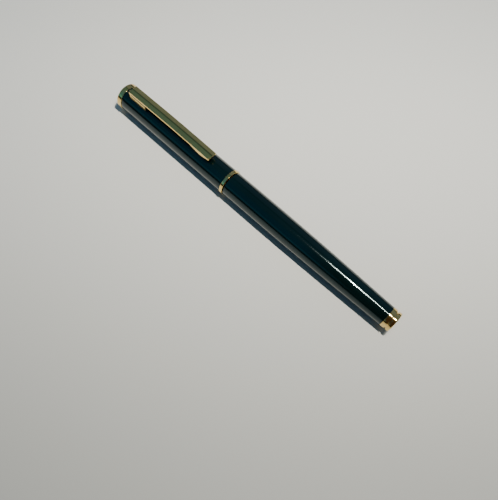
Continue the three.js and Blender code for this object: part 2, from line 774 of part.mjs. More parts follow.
/** Height of the nib's crown line above the pen's axis: it falls towards the point. */
function nibCrown(x) {
  const t = Math.max(0, (x - collarEnd) / (nibTip - collarEnd));
  return nibRadius - NIB_TIP_DROP * t * t;
}

/** Half the nib's width in plan: the heel, the shoulders and the long taper to the point. */
function nibHalfWidth(x) {
  const shoulder = collarEnd + NIB_SHOULDER;
  const heel = nibRadius * NIB_ARCH;
  const grown = heel + (nibShoulderHalfWidth - heel) * eased((x - collarEnd) / NIB_SHOULDER);
  const left = Math.max(0, (nibTip - x) / (nibTip - shoulder));
  const tapered = NIB_TIP_HALF_WIDTH + (nibShoulderHalfWidth - NIB_TIP_HALF_WIDTH) * left ** 0.8;
  return x < shoulder ? grown : tapered;
}

/** Across-section of the nib's sheet as [y, z] pairs: an arch that flattens towards the point. */
function nibOutline(x) {
  const half = nibHalfWidth(x);
  const bend = Math.max(nibRadius, half / NIB_ARCH);
  const reach = Math.asin(Math.min(NIB_ARCH, half / bend));
  const angles = spread(-reach, reach, 10);
  const arch = (radius) => angles.map((angle) => [
    radius * Math.sin(angle),
    nibCrown(x) - bend + radius * Math.cos(angle),
  ]);
  return [...arch(bend).reverse(), ...arch(bend - NIB_SHEET)];
}

/** Nib: arched gold sheet with a slit and a breather hole. */
function nib() {
  const shoulder = collarEnd + NIB_SHOULDER;
  const stations = [nibHeel, ...spread(collarEnd, shoulder, 4), ...spread(shoulder, nibTip, 9).slice(1)];
  const sections = stations.map((x) => nibOutline(x).map(([y, z]) => [x, y, z]));
  const slitStart = nibTip - SLIT_LENGTH;
  const slit = block(
    slitStart, nibTip + 1,
    -SLIT_WIDTH / 2, SLIT_WIDTH / 2,
    -nibRadius, nibRadius + 1,
  );
  const breather = new THREE.CylinderGeometry(BREATHER_RADIUS, BREATHER_RADIUS, 2 * nibRadius, 16);
  breather.rotateX(Math.PI / 2);
  breather.translate(slitStart, 0, nibRadius);
  const sheet = solid(lofted(sections, nibOutline(nibHeel)));
  return geometryOf(sheet.subtract(solid(slit)).subtract(solid(breather)));
}

/** Feed: round bar under the nib that follows its crown line, with cross fins below. */
function feed() {
  const start = nippleFlangeEnd + FIT_GAP;
  const stations = [start, ...spread(collarEnd, feedEnd, 8)];
  const outlineAt = (x) => {
    const t = Math.max(0, (x - collarEnd) / (feedEnd - collarEnd));
    const radius = feedRadius + (FEED_TIP_RADIUS - feedRadius) * t;
    const centre = nibCrown(x) - NIB_SHEET - FIT_GAP - radius;
    return spread(0, 2 * Math.PI, 20).slice(0, -1).map((angle) => [
      radius * Math.cos(angle),
      centre + radius * Math.sin(angle),
    ]);
  };
  const sections = stations.map((x) => outlineAt(x).map(([y, z]) => [x, y, z]));
  let body = solid(lofted(sections, outlineAt(start)));
  for (let i = 0; i < FEED_FINS; i += 1) {
    const x = collarEnd + FINS_FROM_COLLAR + i * FIN_PITCH;
    const root = FIN_DEPTH - feedRadius;
    const slot = block(x, x + FIN_SLOT, -nibRadius, nibRadius, -2 * nibRadius, root);
    body = body.subtract(solid(slot));
  }
  return geometryOf(body);
}

/** Ink nipple: flange in the grip and a hollow spike that pierces the converter's mouth. */
function inkNipple() {
  return turnedRing([
    [nippleStart, NIPPLE_BORE],
    [nippleStart, NIPPLE_RADIUS],
    [nippleFlangeStart, NIPPLE_RADIUS],
    [nippleFlangeStart, collarRadius],
    [nippleFlangeEnd, collarRadius],
    [nippleFlangeEnd, NIPPLE_BORE],
  ], INNER_SIDES);
}

function clutchRing() {
  return tube(clutchRingStart, clutchRingEnd - FIT_GAP, clutchRingRadius, ringSeatRadius + RUN_GAP);
}

piece('clutch_ring', clutchRing(), gold);
piece('section_o_ring', sealRing(), rubber);
piece('section_coupling', sectionCoupling(), brass);
piece('section_grip', gripShell(), blackPlastic);
piece('section_front_ring', frontRing(), gold);
piece('nib_collar', nibCollar(), blackPlastic);
piece('nib', nib(), gold);
piece('feed', feed(), blackPlastic);
piece('ink_nipple', inkNipple(), blackPlastic);

// ---------------------------------------------------------------- converter

/** Soft mouth of the converter, pushed over the ink nipple, with a spigot into the chamber. */
function converterMouth() {
  const bore = NIPPLE_RADIUS + RUN_GAP;
  return turnedRing([
    [mouthStart - MOUTH_SPIGOT_LENGTH, bore],
    [mouthStart - MOUTH_SPIGOT_LENGTH, chamberBore - FIT_GAP],
    [mouthStart, chamberBore - FIT_GAP],
    [mouthStart, converterRadius],
    [mouthEnd, converterRadius],
    [mouthEnd, bore],
  ], INNER_SIDES);
}

/** Housing of the screw drive, necked to fit under the metal band. */
function converterHousing() {
  return turnedRing([
    [housingStart, housingBore],
    [housingStart, HOUSING_RADIUS],
    [bandStart, HOUSING_RADIUS],
    [bandStart, converterRadius],
    [housingEnd, converterRadius],
    [housingEnd, housingBore],
  ], INNER_SIDES);
}

/** Fluted knob, hollow for the rod's rear end. */
function converterKnob() {
  const outline = new THREE.Shape();
  for (let i = 0; i < 2 * KNOB_FLUTES; i += 1) {
    const angle = (Math.PI * i) / KNOB_FLUTES;
    const radius = converterRadius - (i % 2) * KNOB_FLUTE_DEPTH;
    const point = [radius * Math.cos(angle), radius * Math.sin(angle)];
    if (i === 0) outline.moveTo(...point);
    else outline.lineTo(...point);
  }
  const body = new THREE.ExtrudeGeometry(outline, { depth: KNOB_LENGTH, bevelEnabled: false });
  body.rotateY(Math.PI / 2);
  body.translate(knobStart, 0, 0);
  const hollowStart = knobStart + KNOB_END_WALL;
  const hollow = turned([
    [hollowStart, 0], [hollowStart, nutBore], [knobEnd + 1, nutBore], [knobEnd + 1, 0],
  ], INNER_SIDES);
  return geometryOf(solid(body).subtract(solid(hollow)));
}

/** Piston rod with a small tip in front of the seal. */
function pistonRod() {
  return turned([
    [nutEnd - ROD_IN_NUT, 0],
    [nutEnd - ROD_IN_NUT, ROD_RADIUS],
    [pistonEnd + ROD_TIP, ROD_RADIUS],
    [pistonEnd + ROD_TIP, 0],
  ], INNER_SIDES);
}

/** Two-lipped seal on the rod. */
function pistonSeal() {
  const lip = chamberBore - FIT_GAP;
  const waist = lip - PISTON_WAIST_DEPTH;
  const bore = ROD_RADIUS + FIT_GAP;
  const lipLength = PISTON_LENGTH / 4;
  return turnedRing([
    [pistonStart, bore],
    [pistonStart, lip],
    [pistonStart + lipLength, lip],
    [pistonStart + lipLength * 1.4, waist],
    [pistonEnd - lipLength * 1.4, waist],
    [pistonEnd - lipLength, lip],
    [pistonEnd, lip],
    [pistonEnd, bore],
  ], INNER_SIDES);
}

function converterChamber() {
  return tube(chamberStart, chamberEnd, converterRadius, chamberBore, INNER_SIDES);
}

/** Metal band over the joint of chamber and housing. */
function converterBand() {
  const bore = converterRadius + FIT_GAP;
  return tube(bandStart + FIT_GAP, bandStart + BAND_LENGTH, HOUSING_RADIUS, bore, INNER_SIDES);
}

piece('converter_mouth', converterMouth(), blackPlastic);
piece('converter_chamber', converterChamber(), clearPlastic);
piece('converter_band', converterBand(), steel);
piece('converter_housing', converterHousing(), blackPlastic);
piece('converter_knob', converterKnob(), blackPlastic);
piece('converter_drive_nut', tube(housingStart, nutEnd, nutRadius, nutBore, INNER_SIDES), brass);
piece('piston_rod', pistonRod(), steel);
piece('piston_seal', pistonSeal(), rubber);

export default pen;
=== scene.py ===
import json
import math

import bmesh
import bpy
import numpy as np
from mathutils import Matrix, Vector


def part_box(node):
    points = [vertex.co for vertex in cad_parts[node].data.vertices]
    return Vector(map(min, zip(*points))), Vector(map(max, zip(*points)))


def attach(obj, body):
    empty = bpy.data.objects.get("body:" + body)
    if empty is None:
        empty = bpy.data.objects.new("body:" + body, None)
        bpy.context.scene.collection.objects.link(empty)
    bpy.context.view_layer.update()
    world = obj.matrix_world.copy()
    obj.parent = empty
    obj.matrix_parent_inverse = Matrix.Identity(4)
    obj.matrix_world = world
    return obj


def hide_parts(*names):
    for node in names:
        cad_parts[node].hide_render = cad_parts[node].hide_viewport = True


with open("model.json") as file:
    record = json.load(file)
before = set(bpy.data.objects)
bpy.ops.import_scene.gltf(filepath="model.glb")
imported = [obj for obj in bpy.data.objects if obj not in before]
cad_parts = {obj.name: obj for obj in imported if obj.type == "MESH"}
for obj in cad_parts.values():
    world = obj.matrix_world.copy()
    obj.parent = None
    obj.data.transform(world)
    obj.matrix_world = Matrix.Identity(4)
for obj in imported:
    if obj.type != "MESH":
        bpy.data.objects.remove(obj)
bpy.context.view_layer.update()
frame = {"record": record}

# ---- Camera, table and light ------------------------------------------------------------------
# The pen lies on a pale table under one small, high lamp and a broad cool dome. The camera looks
# down on it from the clip's side, a little over the barrel's end.

MM = 0.001

LENS = 36
SENSOR = 36
NEAREST_SEEN = 5 * MM
FURTHEST_SEEN = 20
EYE_ALONG = 13.925 * MM
EYE_DISTANCE = 178.294 * MM
EYE_LEAN = math.radians(24.5)
EYE_RIGHT = Vector((-0.7308, -0.6457, -0.2215))
EYE_DOWN = Vector((-0.6443, 0.7596, -0.0888))

# The lean turns the line from the pen to the eye from upright towards +Y.
lean = Matrix((
    (1, 0, 0),
    (0, math.cos(EYE_LEAN), math.sin(EYE_LEAN)),
    (0, -math.sin(EYE_LEAN), math.cos(EYE_LEAN)),
))
eye_right = (lean @ EYE_RIGHT).normalized()
eye_back = (lean @ -EYE_RIGHT.cross(EYE_DOWN)).normalized()
eye_up = eye_back.cross(eye_right)

camera_data = bpy.data.cameras.new("camera")
camera_data.lens = LENS
camera_data.sensor_width = SENSOR
camera_data.clip_start = NEAREST_SEEN
camera_data.clip_end = FURTHEST_SEEN
camera = bpy.data.objects.new("camera", camera_data)
bpy.context.collection.objects.link(camera)
turn = Matrix((eye_right, eye_up, eye_back)).transposed()
place = lean @ Vector((EYE_ALONG, 0, EYE_DISTANCE))
camera.matrix_world = Matrix.Translation(place) @ turn.to_4x4()
bpy.context.scene.camera = camera


class Value:
    """A shader socket that carries a number. Arithmetic on it adds the Math node that does it."""

    def __init__(self, finish, socket):
        self.finish = finish
        self.socket = socket

    def math(self, operation, first, second):
        return self.finish.node("Math", {"operation": operation}, {0: first, 1: second})

    def __add__(self, other):
        return self.math("ADD", self, other)

    __radd__ = __add__

    def __sub__(self, other):
        return self.math("SUBTRACT", self, other)

    def __rsub__(self, other):
        return self.math("SUBTRACT", other, self)

    def __mul__(self, other):
        return self.math("MULTIPLY", self, other)

    __rmul__ = __mul__

    def __truediv__(self, other):
        return self.math("DIVIDE", self, other)


class Finish:
    """A material or a world being made: its node tree, and the shader that the nodes feed."""

    def __init__(self, data, shader_type):
        self.data = data
        data.use_nodes = True
        self.tree = data.node_tree
        self.shader = next(n for n in self.tree.nodes if n.type == shader_type)

    def node(self, kind, settings=None, inputs=None, output=0):
        """One new node: its settings first, then the values or links of its sockets."""
        made = self.tree.nodes.new("ShaderNode" + kind)
        for name, setting in (settings or {}).items():
            setattr(made, name, setting)
        for name, value in (inputs or {}).items():
            self.feed(made.inputs[name], value)
        return Value(self, made.outputs[output])

    def feed(self, socket, value):
        """Links a value to a socket, or sets the socket to a plain number or colour."""
        if isinstance(value, Value):
            self.tree.links.new(value.socket, socket)
        else:
            socket.default_value = value

    def give(self, **sockets):
        """Feeds the shader's own sockets, named in lower case with _ for a space."""
        for name, value in sockets.items():
            socket = name.replace("_", " ").title().replace("Ior", "IOR")
            self.feed(self.shader.inputs[socket], value)

    def where(self):
        """The point on the surface in the pen's frame, in metres."""
        return self.node("TexCoord", output="Object")

    def along(self, axis, source="Object"):
        """One part of a coordinate: 0 for X, 1 for Y and 2 for Z."""
        whole = self.node("TexCoord", output=source)
        return self.node("SeparateXYZ", None, {0: whole}, output=axis)

    def noise(self, size, detail=3, roughness=0.5, stretch=(1, 1, 1)):
        """Noise from 0 to 1 with lumps of about size metres, each axis stretched by its factor."""
        shrunk = tuple(1 / (size * s) for s in stretch)
        spot = self.node("VectorMath", {"operation": "MULTIPLY"}, {0: self.where(), 1: shrunk})
        return self.node("TexNoise", None, {
            "Vector": spot, "Scale": 1.0, "Detail": detail, "Roughness": roughness})

    def band(self, value, low, high, from_low=0.0, from_high=1.0):
        """A value carried smoothly from one range to another and held at its ends."""
        return self.node("MapRange", {"interpolation_type": "SMOOTHSTEP"}, {
            0: value, 1: from_low, 2: from_high, 3: low, 4: high})

    def blend(self, factor, first, second):
        """A colour between two colours."""
        return self.node("Mix", {"data_type": "RGBA"}, {0: factor, 6: first, 7: second}, output=2)

    def bump(self, height, depth):
        """Surface normal of a height from 0 to 1 that stands depth metres."""
        return self.node("Bump", None, {"Strength": 1.0, "Distance": depth, "Height": height})


def new_finish(name):
    """A new material with its Principled shader."""
    return Finish(bpy.data.materials.new(name), "BSDF_PRINCIPLED")


# Painted light: the table's colour grows paler from the barrel's near corner to the cap's far one.
TABLE_PAINTED_SHADE = (0.37, 0.38, 0.37, 1)
TABLE_PAINTED_LIGHT = (0.92, 0.935, 0.91, 1)
TABLE_SIZE = 3.0
TABLE_HEIGHT = -5.2 * MM
PAINTED_LIGHT_FROM = -85 * MM
PAINTED_LIGHT_TO = 120 * MM

table_mesh = bpy.data.meshes.new("table")
table_corners = np.array([(-1, -1), (1, -1), (1, 1), (-1, 1)]) * TABLE_SIZE / 2
table_mesh.from_pydata(
    [(x, y, TABLE_HEIGHT) for x, y in table_corners.tolist()], [], [(0, 1, 2, 3)])
table = bpy.data.objects.new("table", table_mesh)
bpy.context.collection.objects.link(table)
table_finish = new_finish("pale_table")
across_table = 0.64 * table_finish.along(0) - 0.76 * table_finish.along(1)
# Painted light and shade: this ramp carries the floor's colour from the darker near end to the
# paler far end.
painted_light_ramp = table_finish.band(across_table, 0, 1, PAINTED_LIGHT_FROM, PAINTED_LIGHT_TO)
grain = table_finish.noise(2.5 * MM, detail=4)
table_finish.give(
    base_color=table_finish.blend(painted_light_ramp, TABLE_PAINTED_SHADE, TABLE_PAINTED_LIGHT),
    roughness=0.72 + 0.06 * grain,
)
table_mesh.materials.append(table_finish.data)

# A small warm lamp, high over the barrel's end and a little behind the pen, with two thin tubes
# beside it that run along the pen.
LAMP_PLACE = Vector((14, -20, 310)) * MM
LAMP_RADIUS = 3 * MM
LAMP_POWER = 3.35
LAMP_COLOUR = (1.0, 0.925, 0.80)
TUBE_WIDTH = 3 * MM
TUBES = ((-34 * MM, 44 * MM, 0.66), (44 * MM, 72 * MM, 0.004))  # start, end and power

lamp_data = bpy.data.lights.new("lamp", "POINT")
lamp_data.energy = LAMP_POWER
lamp_data.shadow_soft_size = LAMP_RADIUS
lamp_data.color = LAMP_COLOUR
lamp = bpy.data.objects.new("lamp", lamp_data)
lamp.location = LAMP_PLACE
bpy.context.collection.objects.link(lamp)
for tube_start, tube_end, power in TUBES:
    tube_data = bpy.data.lights.new("lamp_tube", "AREA")
    tube_data.shape = "RECTANGLE"
    tube_data.size = tube_end - tube_start
    tube_data.size_y = TUBE_WIDTH
    tube_data.energy = power
    tube_data.color = LAMP_COLOUR
    tube = bpy.data.objects.new("lamp_tube", tube_data)
    tube.location = Vector(((tube_start + tube_end) / 2, LAMP_PLACE.y, LAMP_PLACE.z))
    bpy.context.collection.objects.link(tube)

# The dome is a cool sky overhead. A dark rail crosses it on the -Y side, the +Y side is bluer with
# a pale patch, and dark near the camera, and both sides darken towards the horizon.
SKY_OVERHEAD = (0.08, 0.17, 0.24, 1)
SKY_BEHIND = (0.146, 0.21, 0.29, 1)
SKY_RAIL = (0.02, 0.055, 0.06, 1)
SKY_DARK_SIDE = (0.047, 0.030, 0.020, 1)
SKY_FRONT = (0.06, 0.19, 0.34, 1)
SKY_PATCH = (0.12, 0.42, 0.58, 1)
SKY_HORIZON = (0.022, 0.020, 0.016, 1)

dome = Finish(bpy.data.worlds.new("dome"), "BACKGROUND")
bpy.context.scene.world = dome.data
east, north, up = (dome.along(axis, "Generated") for axis in range(3))
tilt = (0 - north) / (up + 0.02)
sky = dome.blend(dome.band(tilt, 0, 1, 0.45, 0.55), SKY_OVERHEAD, SKY_BEHIND)
rail = dome.band(tilt, 0, 1, 0.37, 0.43) * dome.band(tilt, 1, 0, 0.47, 0.55)
sky = dome.blend(rail, sky, SKY_RAIL)
sky = dome.blend(dome.band(north, 0, 1, 0.1, 0.6), sky, SKY_FRONT)
dark_side = dome.band(north, 0, 1, 0.02, 0.15) * dome.band(east, 1, 0, 0.02, 0.14)
sky = dome.blend(dark_side, sky, SKY_DARK_SIDE)
patch = dome.band(east, 0, 1, -0.08, 0.16) * dome.band(north, 0, 1, 0.5, 0.8)
patch = patch * dome.band(up, 0, 1, 0.22, 0.30) * dome.band(up, 1, 0, 0.38, 0.52)
sky = dome.blend(patch, sky, SKY_PATCH)
low_sky = dome.band(up, 1, 0, 0.17, 0.24) * dome.band(north, 0, 1, -0.2, 0.2)
low_behind = dome.band(up, 1, 0, 0.14, 0.22) * dome.band(north, 1, 0, -0.2, 0.2)
sky = dome.blend(low_sky + low_behind, sky, SKY_HORIZON)
dome.give(color=sky, strength=1.0)

# ---- Barrel tube ------------------------------------------------------------------------------
# Thin brass tube, drawn and turned to a gentle taper, lacquered in many coats of very dark teal
# and polished to a wet gloss. The bore stays bare.

OUTER_SIDES = 32
INNER_SIDES = 24
FIT = 0.05 * MM
RUN = 0.1 * MM
FINE_EDGE = 0.05 * MM
THIN_EDGE = 0.06 * MM
SOFT_EDGE = 0.08 * MM
PLAIN_EDGE = 0.1 * MM
MEDIUM_EDGE = 0.12 * MM
ROUND_EDGE = 0.15 * MM
BROAD_EDGE = 0.2 * MM
FULL_EDGE = 0.3 * MM


def span(node):
    """First and last place of a CAD piece along the pen."""
    low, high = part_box(node)
    return low.x, high.x


def radius_of(node, sides=OUTER_SIDES):
    """Radius of a turned CAD piece: half its height, corrected for its flat facets."""
    low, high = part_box(node)
    return (high.z - low.z) / 2 / math.cos(math.pi / sides)


def rounded(profile, steps=5):
    """A turned profile with its corners rounded: [x, radius] or [x, radius, rounding] points.

    Each corner is replaced by the arc that touches both of its straight lines, as far from the
    corner as the rounding over the tangent of half the corner's angle.
    """
    points = [np.array(p[:2], float) for p in profile]
    sizes = [p[2] if len(p) > 2 else 0 for p in profile]
    last = len(points) - 1
    closed = np.allclose(points[0], points[-1])
    made = []
    for i, (corner, size) in enumerate(zip(points, sizes)):
        if size == 0 or (i in (0, last) and not closed):
            made.append(corner)
            continue
        before = points[i - 1] if i > 0 else points[last - 1]
        after = points[i + 1] if i < last else points[1]
        back, ahead = before - corner, after - corner
        back, ahead = back / np.linalg.norm(back), ahead / np.linalg.norm(ahead)
        half = math.acos(np.clip(back @ ahead, -1, 1)) / 2
        start, end = corner + back * size / math.tan(half), corner + ahead * size / math.tan(half)
        middle = corner + (back + ahead) / np.linalg.norm(back + ahead) * size / math.sin(half)
        a0, a1 = np.arctan2(*(start - middle)[::-1]), np.arctan2(*(end - middle)[::-1])
        sweep = (a1 - a0 + math.pi) % (2 * math.pi) - math.pi
        angles = a0 + sweep * np.linspace(0, 1, steps + 1)
        made.extend(middle + size * np.stack([np.cos(angles), np.sin(angles)], axis=1))
    return np.array(made)


def ring_profile(start, end, bore, radius, edge):
    """Closed profile of a plain tube with its edges rounded."""
    corners = [[start, bore, edge], [start, radius, edge], [end, radius, edge], [end, bore, edge]]
    return rounded([*corners, corners[0]])


def fine(profile, step):
    """A profile with points added so that none are further apart than a step."""
    points = np.asarray(profile, float)
    gaps = np.linalg.norm(np.diff(points, axis=0), axis=1)
    pieces = [np.linspace(a, b, max(2, int(math.ceil(gap / step)) + 1))[:-1]
              for a, b, gap in zip(points[:-1], points[1:], gaps)]
    return np.concatenate([*pieces, points[-1:]])


def grid_faces(rows, columns, wrap_rows=False, wrap_columns=True):
    """Quads of a grid of points, row by row, joined round the columns and, if asked, the rows."""
    r = np.arange(rows if wrap_rows else rows - 1)[:, None]
    c = np.arange(columns if wrap_columns else columns - 1)[None, :]
    r1, c1 = (r + 1) % rows, (c + 1) % columns
    quads = np.stack([
        r * columns + c, r * columns + c1, r1 * columns + c1, r1 * columns + c], axis=-1)
    return quads.reshape(-1, 4)


def piece(name, points, faces, finishes, smooth=35):
    """A new object of these points and faces: doubles merged, edges sharper than smooth kept."""
    mesh = bpy.data.meshes.new(name)
    mesh.from_pydata(np.asarray(points).reshape(-1, 3).tolist(), [], np.asarray(faces).tolist())
    work = bmesh.new()
    work.from_mesh(mesh)
    bmesh.ops.remove_doubles(work, verts=work.verts, dist=1e-7)
    bmesh.ops.dissolve_degenerate(work, edges=work.edges, dist=1e-8)
    bmesh.ops.recalc_face_normals(work, faces=work.faces)
    work.to_mesh(mesh)
    work.free()
    mesh.shade_smooth()
    mesh.set_sharp_from_angle(angle=math.radians(smooth))
    for finish in finishes:
        mesh.materials.append(finish.data)
    made = bpy.data.objects.new(name, mesh)
    bpy.context.collection.objects.link(made)
    return made


def turned(name, profile, finishes, sides=160, smooth=35, relief=None):
    """A piece turned about the pen's axis: each profile point goes round in a circle.

    A relief gives what each point's radius gains, from its place along the pen, its angle from
    upright and its radius.
    """
    outline = np.asarray(profile, float)
    wrap = np.allclose(outline[0], outline[-1])
    if wrap:
        outline = outline[:-1]
    angle = np.arange(sides) * 2 * math.pi / sides
    x, angle = np.broadcast_arrays(outline[:, :1], angle)
    radius = np.broadcast_to(outline[:, 1:], x.shape)
    if relief is not None:
        radius = radius + relief(x, angle, radius)
    points = np.stack([x, radius * np.sin(angle), radius * np.cos(angle)], axis=-1)
    return piece(name, points, grid_faces(len(outline), sides, wrap_rows=wrap), finishes, smooth)


def stands_for(made, node):
    """The new piece takes the CAD node's place: its body and its showing."""
    record = frame["record"]
    body = next(b for b, nodes in record["behaviour"]["bodies"].items() if node in nodes)
    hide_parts(node)
    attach(made, body)


def paint_where(made, slot, chosen):
    """Gives another material to the faces whose centres and normals a rule chooses."""
    mesh = made.data
    count = len(mesh.polygons)
    centres, normals = np.empty(count * 3), np.empty(count * 3)
    index = np.zeros(count, dtype=np.int32)
    mesh.polygons.foreach_get("center", centres)
    mesh.polygons.foreach_get("normal", normals)
    mesh.polygons.foreach_get("material_index", index)
    index[chosen(centres.reshape(-1, 3), normals.reshape(-1, 3))] = slot
    mesh.polygons.foreach_set("material_index", index)


def facing_in(centres, normals):
    """Faces that look at the pen's axis, such as a bore."""
    outward = centres[:, 1:] / (np.linalg.norm(centres[:, 1:], axis=1, keepdims=True) + 1e-9)
    return (normals[:, 1:] * outward).sum(axis=1) < -0.3


# Lacquer: nearly black teal under a clear coat, with a breath of orange peel, fine hairlines
# along the pen and specks of dust.
lacquer = new_finish("dark_teal_lacquer")
cloud = lacquer.band(lacquer.noise(9 * MM, detail=2), 0, 1, 0.3, 0.7)
hairline = lacquer.band(lacquer.noise(0.25 * MM, detail=4, stretch=(30, 1, 1)), 0, 1, 0.62, 0.74)
speck = lacquer.band(lacquer.noise(0.16 * MM, detail=1), 0, 1, 0.76, 0.82)
lacquer.give(
    base_color=lacquer.blend(cloud, (0.0002, 0.0042, 0.0046, 1), (0.0003, 0.0054, 0.0060, 1)),
    roughness=0.088 + 0.02 * hairline + 0.03 * speck,
    specular_tint=(0.72, 0.96, 1.0, 1),
    normal=lacquer.bump(lacquer.noise(3.5 * MM, detail=1) + 0.01 * hairline, 0.0001 * MM),
)

# Bare brass, turned: dull yellow with rings left by the tool.
brass = new_finish("turned_brass")
rings = brass.noise(0.12 * MM, detail=3, stretch=(1, 200, 200))
tarnish = brass.band(brass.noise(2.5 * MM, detail=5, roughness=0.6), 0, 1, 0.35, 0.75)
brass.give(
    base_color=brass.blend(tarnish, (0.62, 0.44, 0.18, 1), (0.42, 0.27, 0.11, 1)),
    metallic=1.0,
    roughness=0.26 + 0.16 * tarnish + 0.06 * rings,
    normal=brass.bump(rings, 0.004 * MM),
)

BARREL_WALL = 0.45 * MM
BARREL_STRAIGHT = 13.4 * MM
BARREL_LIP = 0.08 * MM
barrel_start, barrel_end = span("barrel_tube")
mouth_radius = radius_of("barrel_tube")
tail_radius = radius_of("barrel_end_button")


def barrel_radius(x):
    """Outside radius: a quarter sine from the tail up to the straight stretch at the mouth."""
    taper = barrel_end - barrel_start - BARREL_STRAIGHT
    t = np.clip((x - barrel_start) / taper, 0, 1)
    return tail_radius + (mouth_radius - tail_radius) * np.sin(t * math.pi / 2)


along = np.linspace(barrel_start, barrel_end, 90)
outside = np.stack([along, barrel_radius(along)], axis=1)
inside = (outside - np.array([0, BARREL_WALL]))[::-1]
mouth_edge = rounded([
    outside[-2], [*outside[-1], BARREL_LIP], [*inside[0], BARREL_LIP], inside[1]])
barrel_profile = np.concatenate([
    [[barrel_start, tail_radius - BARREL_WALL], [barrel_start, tail_radius - BARREL_LIP / 2]],
    [[barrel_start + BARREL_LIP / 2, tail_radius]],
    outside[1:-1], mouth_edge[1:-1], inside[1:-1],
    [[barrel_start, tail_radius - BARREL_WALL]],
])
barrel_tube = turned("barrel_tube_shell", barrel_profile, [lacquer, brass], sides=192)
paint_where(barrel_tube, 1, facing_in)
stands_for(barrel_tube, "barrel_tube")

# ---- Thread bush in the barrel ----------------------------------------------------------------
# Turned brass sleeve soldered inside the barrel's mouth. Its bore carries the fine thread that the
# section screws into.

THREAD_PITCH = 0.7 * MM
THREAD_DEPTH = 0.2 * MM
THREAD_STEP = 0.06 * MM
BUSH_WALL = 0.45 * MM
PLAIN_BACK = 0.4 * MM
PLAIN_FRONT = 0.3 * MM


def thread(x, angle, start, end, pitch, depth, starts=1):
    """Height of a right-hand thread: a smooth ridge once per pitch, run out at both ends.

    Its phase is the place over the pitch plus the turn, once for each start.
    """
    turns = x / (pitch * starts) + angle / (2 * math.pi)
    ridge = 0.5 - 0.5 * np.cos(2 * math.pi * starts * turns)
    run_out = np.clip((x - start) / pitch, 0, 1) * np.clip((end - x) / pitch, 0, 1)
    return depth * ridge * run_out


bush_start, bush_end = span("barrel_thread_bush")
bush_radius = radius_of("barrel_thread_bush")
bush_bore = bush_radius - BUSH_WALL
bush_profile = ring_profile(bush_start, bush_end, bush_bore, bush_radius, SOFT_EDGE)
bush = turned(
    "barrel_bush", fine(bush_profile, THREAD_STEP), [brass], sides=96,
    relief=lambda x, angle, radius: np.where(
        radius < bush_bore + FIT,
        thread(x, angle, bush_start + PLAIN_BACK, bush_end - PLAIN_FRONT,
               THREAD_PITCH, THREAD_DEPTH), 0))
stands_for(bush, "barrel_thread_bush")

# ---- Tail plug --------------------------------------------------------------------------------
# Brass plug pressed into the barrel's tail. The end button's stud screws into its tapped hole.

STUD_RADIUS = 1.0 * MM
PLUG_STEP = 0.4 * MM

plug_start, plug_end = span("barrel_tail_plug")
plug_radius = radius_of("barrel_tail_plug")
plug_profile = ring_profile(plug_start, plug_end, STUD_RADIUS + FIT, plug_radius, ROUND_EDGE)
plug = turned("tail_plug", fine(plug_profile, PLUG_STEP), [brass], sides=96)
stands_for(plug, "barrel_tail_plug")

# ---- End ring and button ----------------------------------------------------------------------
# Two gold-plated brass turnings that finish the tail: a plain ring and, past a narrow groove, a
# button with a well-rounded rim. The button's neck holds the ring, and its stud screws into the
# plug.

GOLD_BRIGHT = (0.84, 0.61, 0.23, 1)
GOLD_DEEP = (0.78, 0.53, 0.18, 1)


def gold_plate(name, stretch):
    """Gold plate on polished brass, its faint polishing lines stretched along the given axes."""
    gold = new_finish(name)
    lines = gold.noise(0.09 * MM, detail=4, roughness=0.6, stretch=stretch)
    swell = gold.noise(3.2 * MM, detail=2)
    dulled = gold.band(gold.noise(1.4 * MM, detail=4, roughness=0.6), 0, 1, 0.45, 0.8)
    gold.give(
        base_color=gold.blend(dulled, GOLD_BRIGHT, GOLD_DEEP),
        metallic=1.0,
        roughness=0.07 + 0.04 * lines + 0.05 * dulled,
        normal=gold.bump(swell + 0.08 * lines, 0.0011 * MM),
    )
    return gold


turned_gold = gold_plate("turned_gold_plate", (1, 40, 40))

RING_GROOVE_EDGE = 0.16 * MM
RING_BARREL_EDGE = 0.07 * MM
NECK_SHOULDER = 1.4 * MM

ring_start, ring_end = span("barrel_end_ring")
ring_radius = radius_of("barrel_end_ring")
button_neck = plug_radius - NECK_SHOULDER
ring_bore = button_neck + FIT
end_ring = turned("end_ring", rounded([
    [ring_start, ring_bore], [ring_start, ring_radius, RING_GROOVE_EDGE],
    [ring_end, ring_radius, RING_BARREL_EDGE], [ring_end, ring_bore], [ring_start, ring_bore],
], steps=8), [turned_gold], sides=192)
stands_for(end_ring, "barrel_end_ring")

BUTTON_EDGE = 0.4 * MM
BUTTON_FACE = 1.35 * MM
GROOVE_DEPTH = 0.43 * MM
STUD_LENGTH = 3.8 * MM
STUD_PITCH = 0.5 * MM
STUD_THREAD_DEPTH = 0.12 * MM
STUD_TIP = 0.2 * MM
BUTTON_STEP = 0.12 * MM

button_start = span("barrel_end_button")[0]
groove_floor = tail_radius - GROOVE_DEPTH
stud_end = ring_end + STUD_LENGTH
button_outline = rounded([
    [button_start, 0], [button_start, tail_radius, BUTTON_EDGE],
    [button_start + BUTTON_FACE, tail_radius, SOFT_EDGE],
    [button_start + BUTTON_FACE, groove_floor, FINE_EDGE], [ring_start, groove_floor],
    [ring_start, button_neck], [ring_end, button_neck], [ring_end, STUD_RADIUS],
    [stud_end, STUD_RADIUS, STUD_TIP], [stud_end, 0],
], steps=10)
end_button = turned(
    "end_button", fine(button_outline, BUTTON_STEP), [turned_gold, brass], sides=192,
    relief=lambda x, angle, radius: np.where(
        (x > ring_end + FIT) & (radius > STUD_RADIUS / 2),
        -thread(x, angle, ring_end + PLAIN_BACK, stud_end - STUD_TIP,
                STUD_PITCH, STUD_THREAD_DEPTH), 0))
paint_where(end_button, 1, lambda centres, normals: centres[:, 0] > ring_start)
stands_for(end_button, "barrel_end_button")

# ---- Section coupling -------------------------------------------------------------------------
# Turned brass coupling that joins the section to the barrel: a fine thread, a groove for the
# O-ring, the seat of the clutch ring and a plain spigot pressed into the grip.

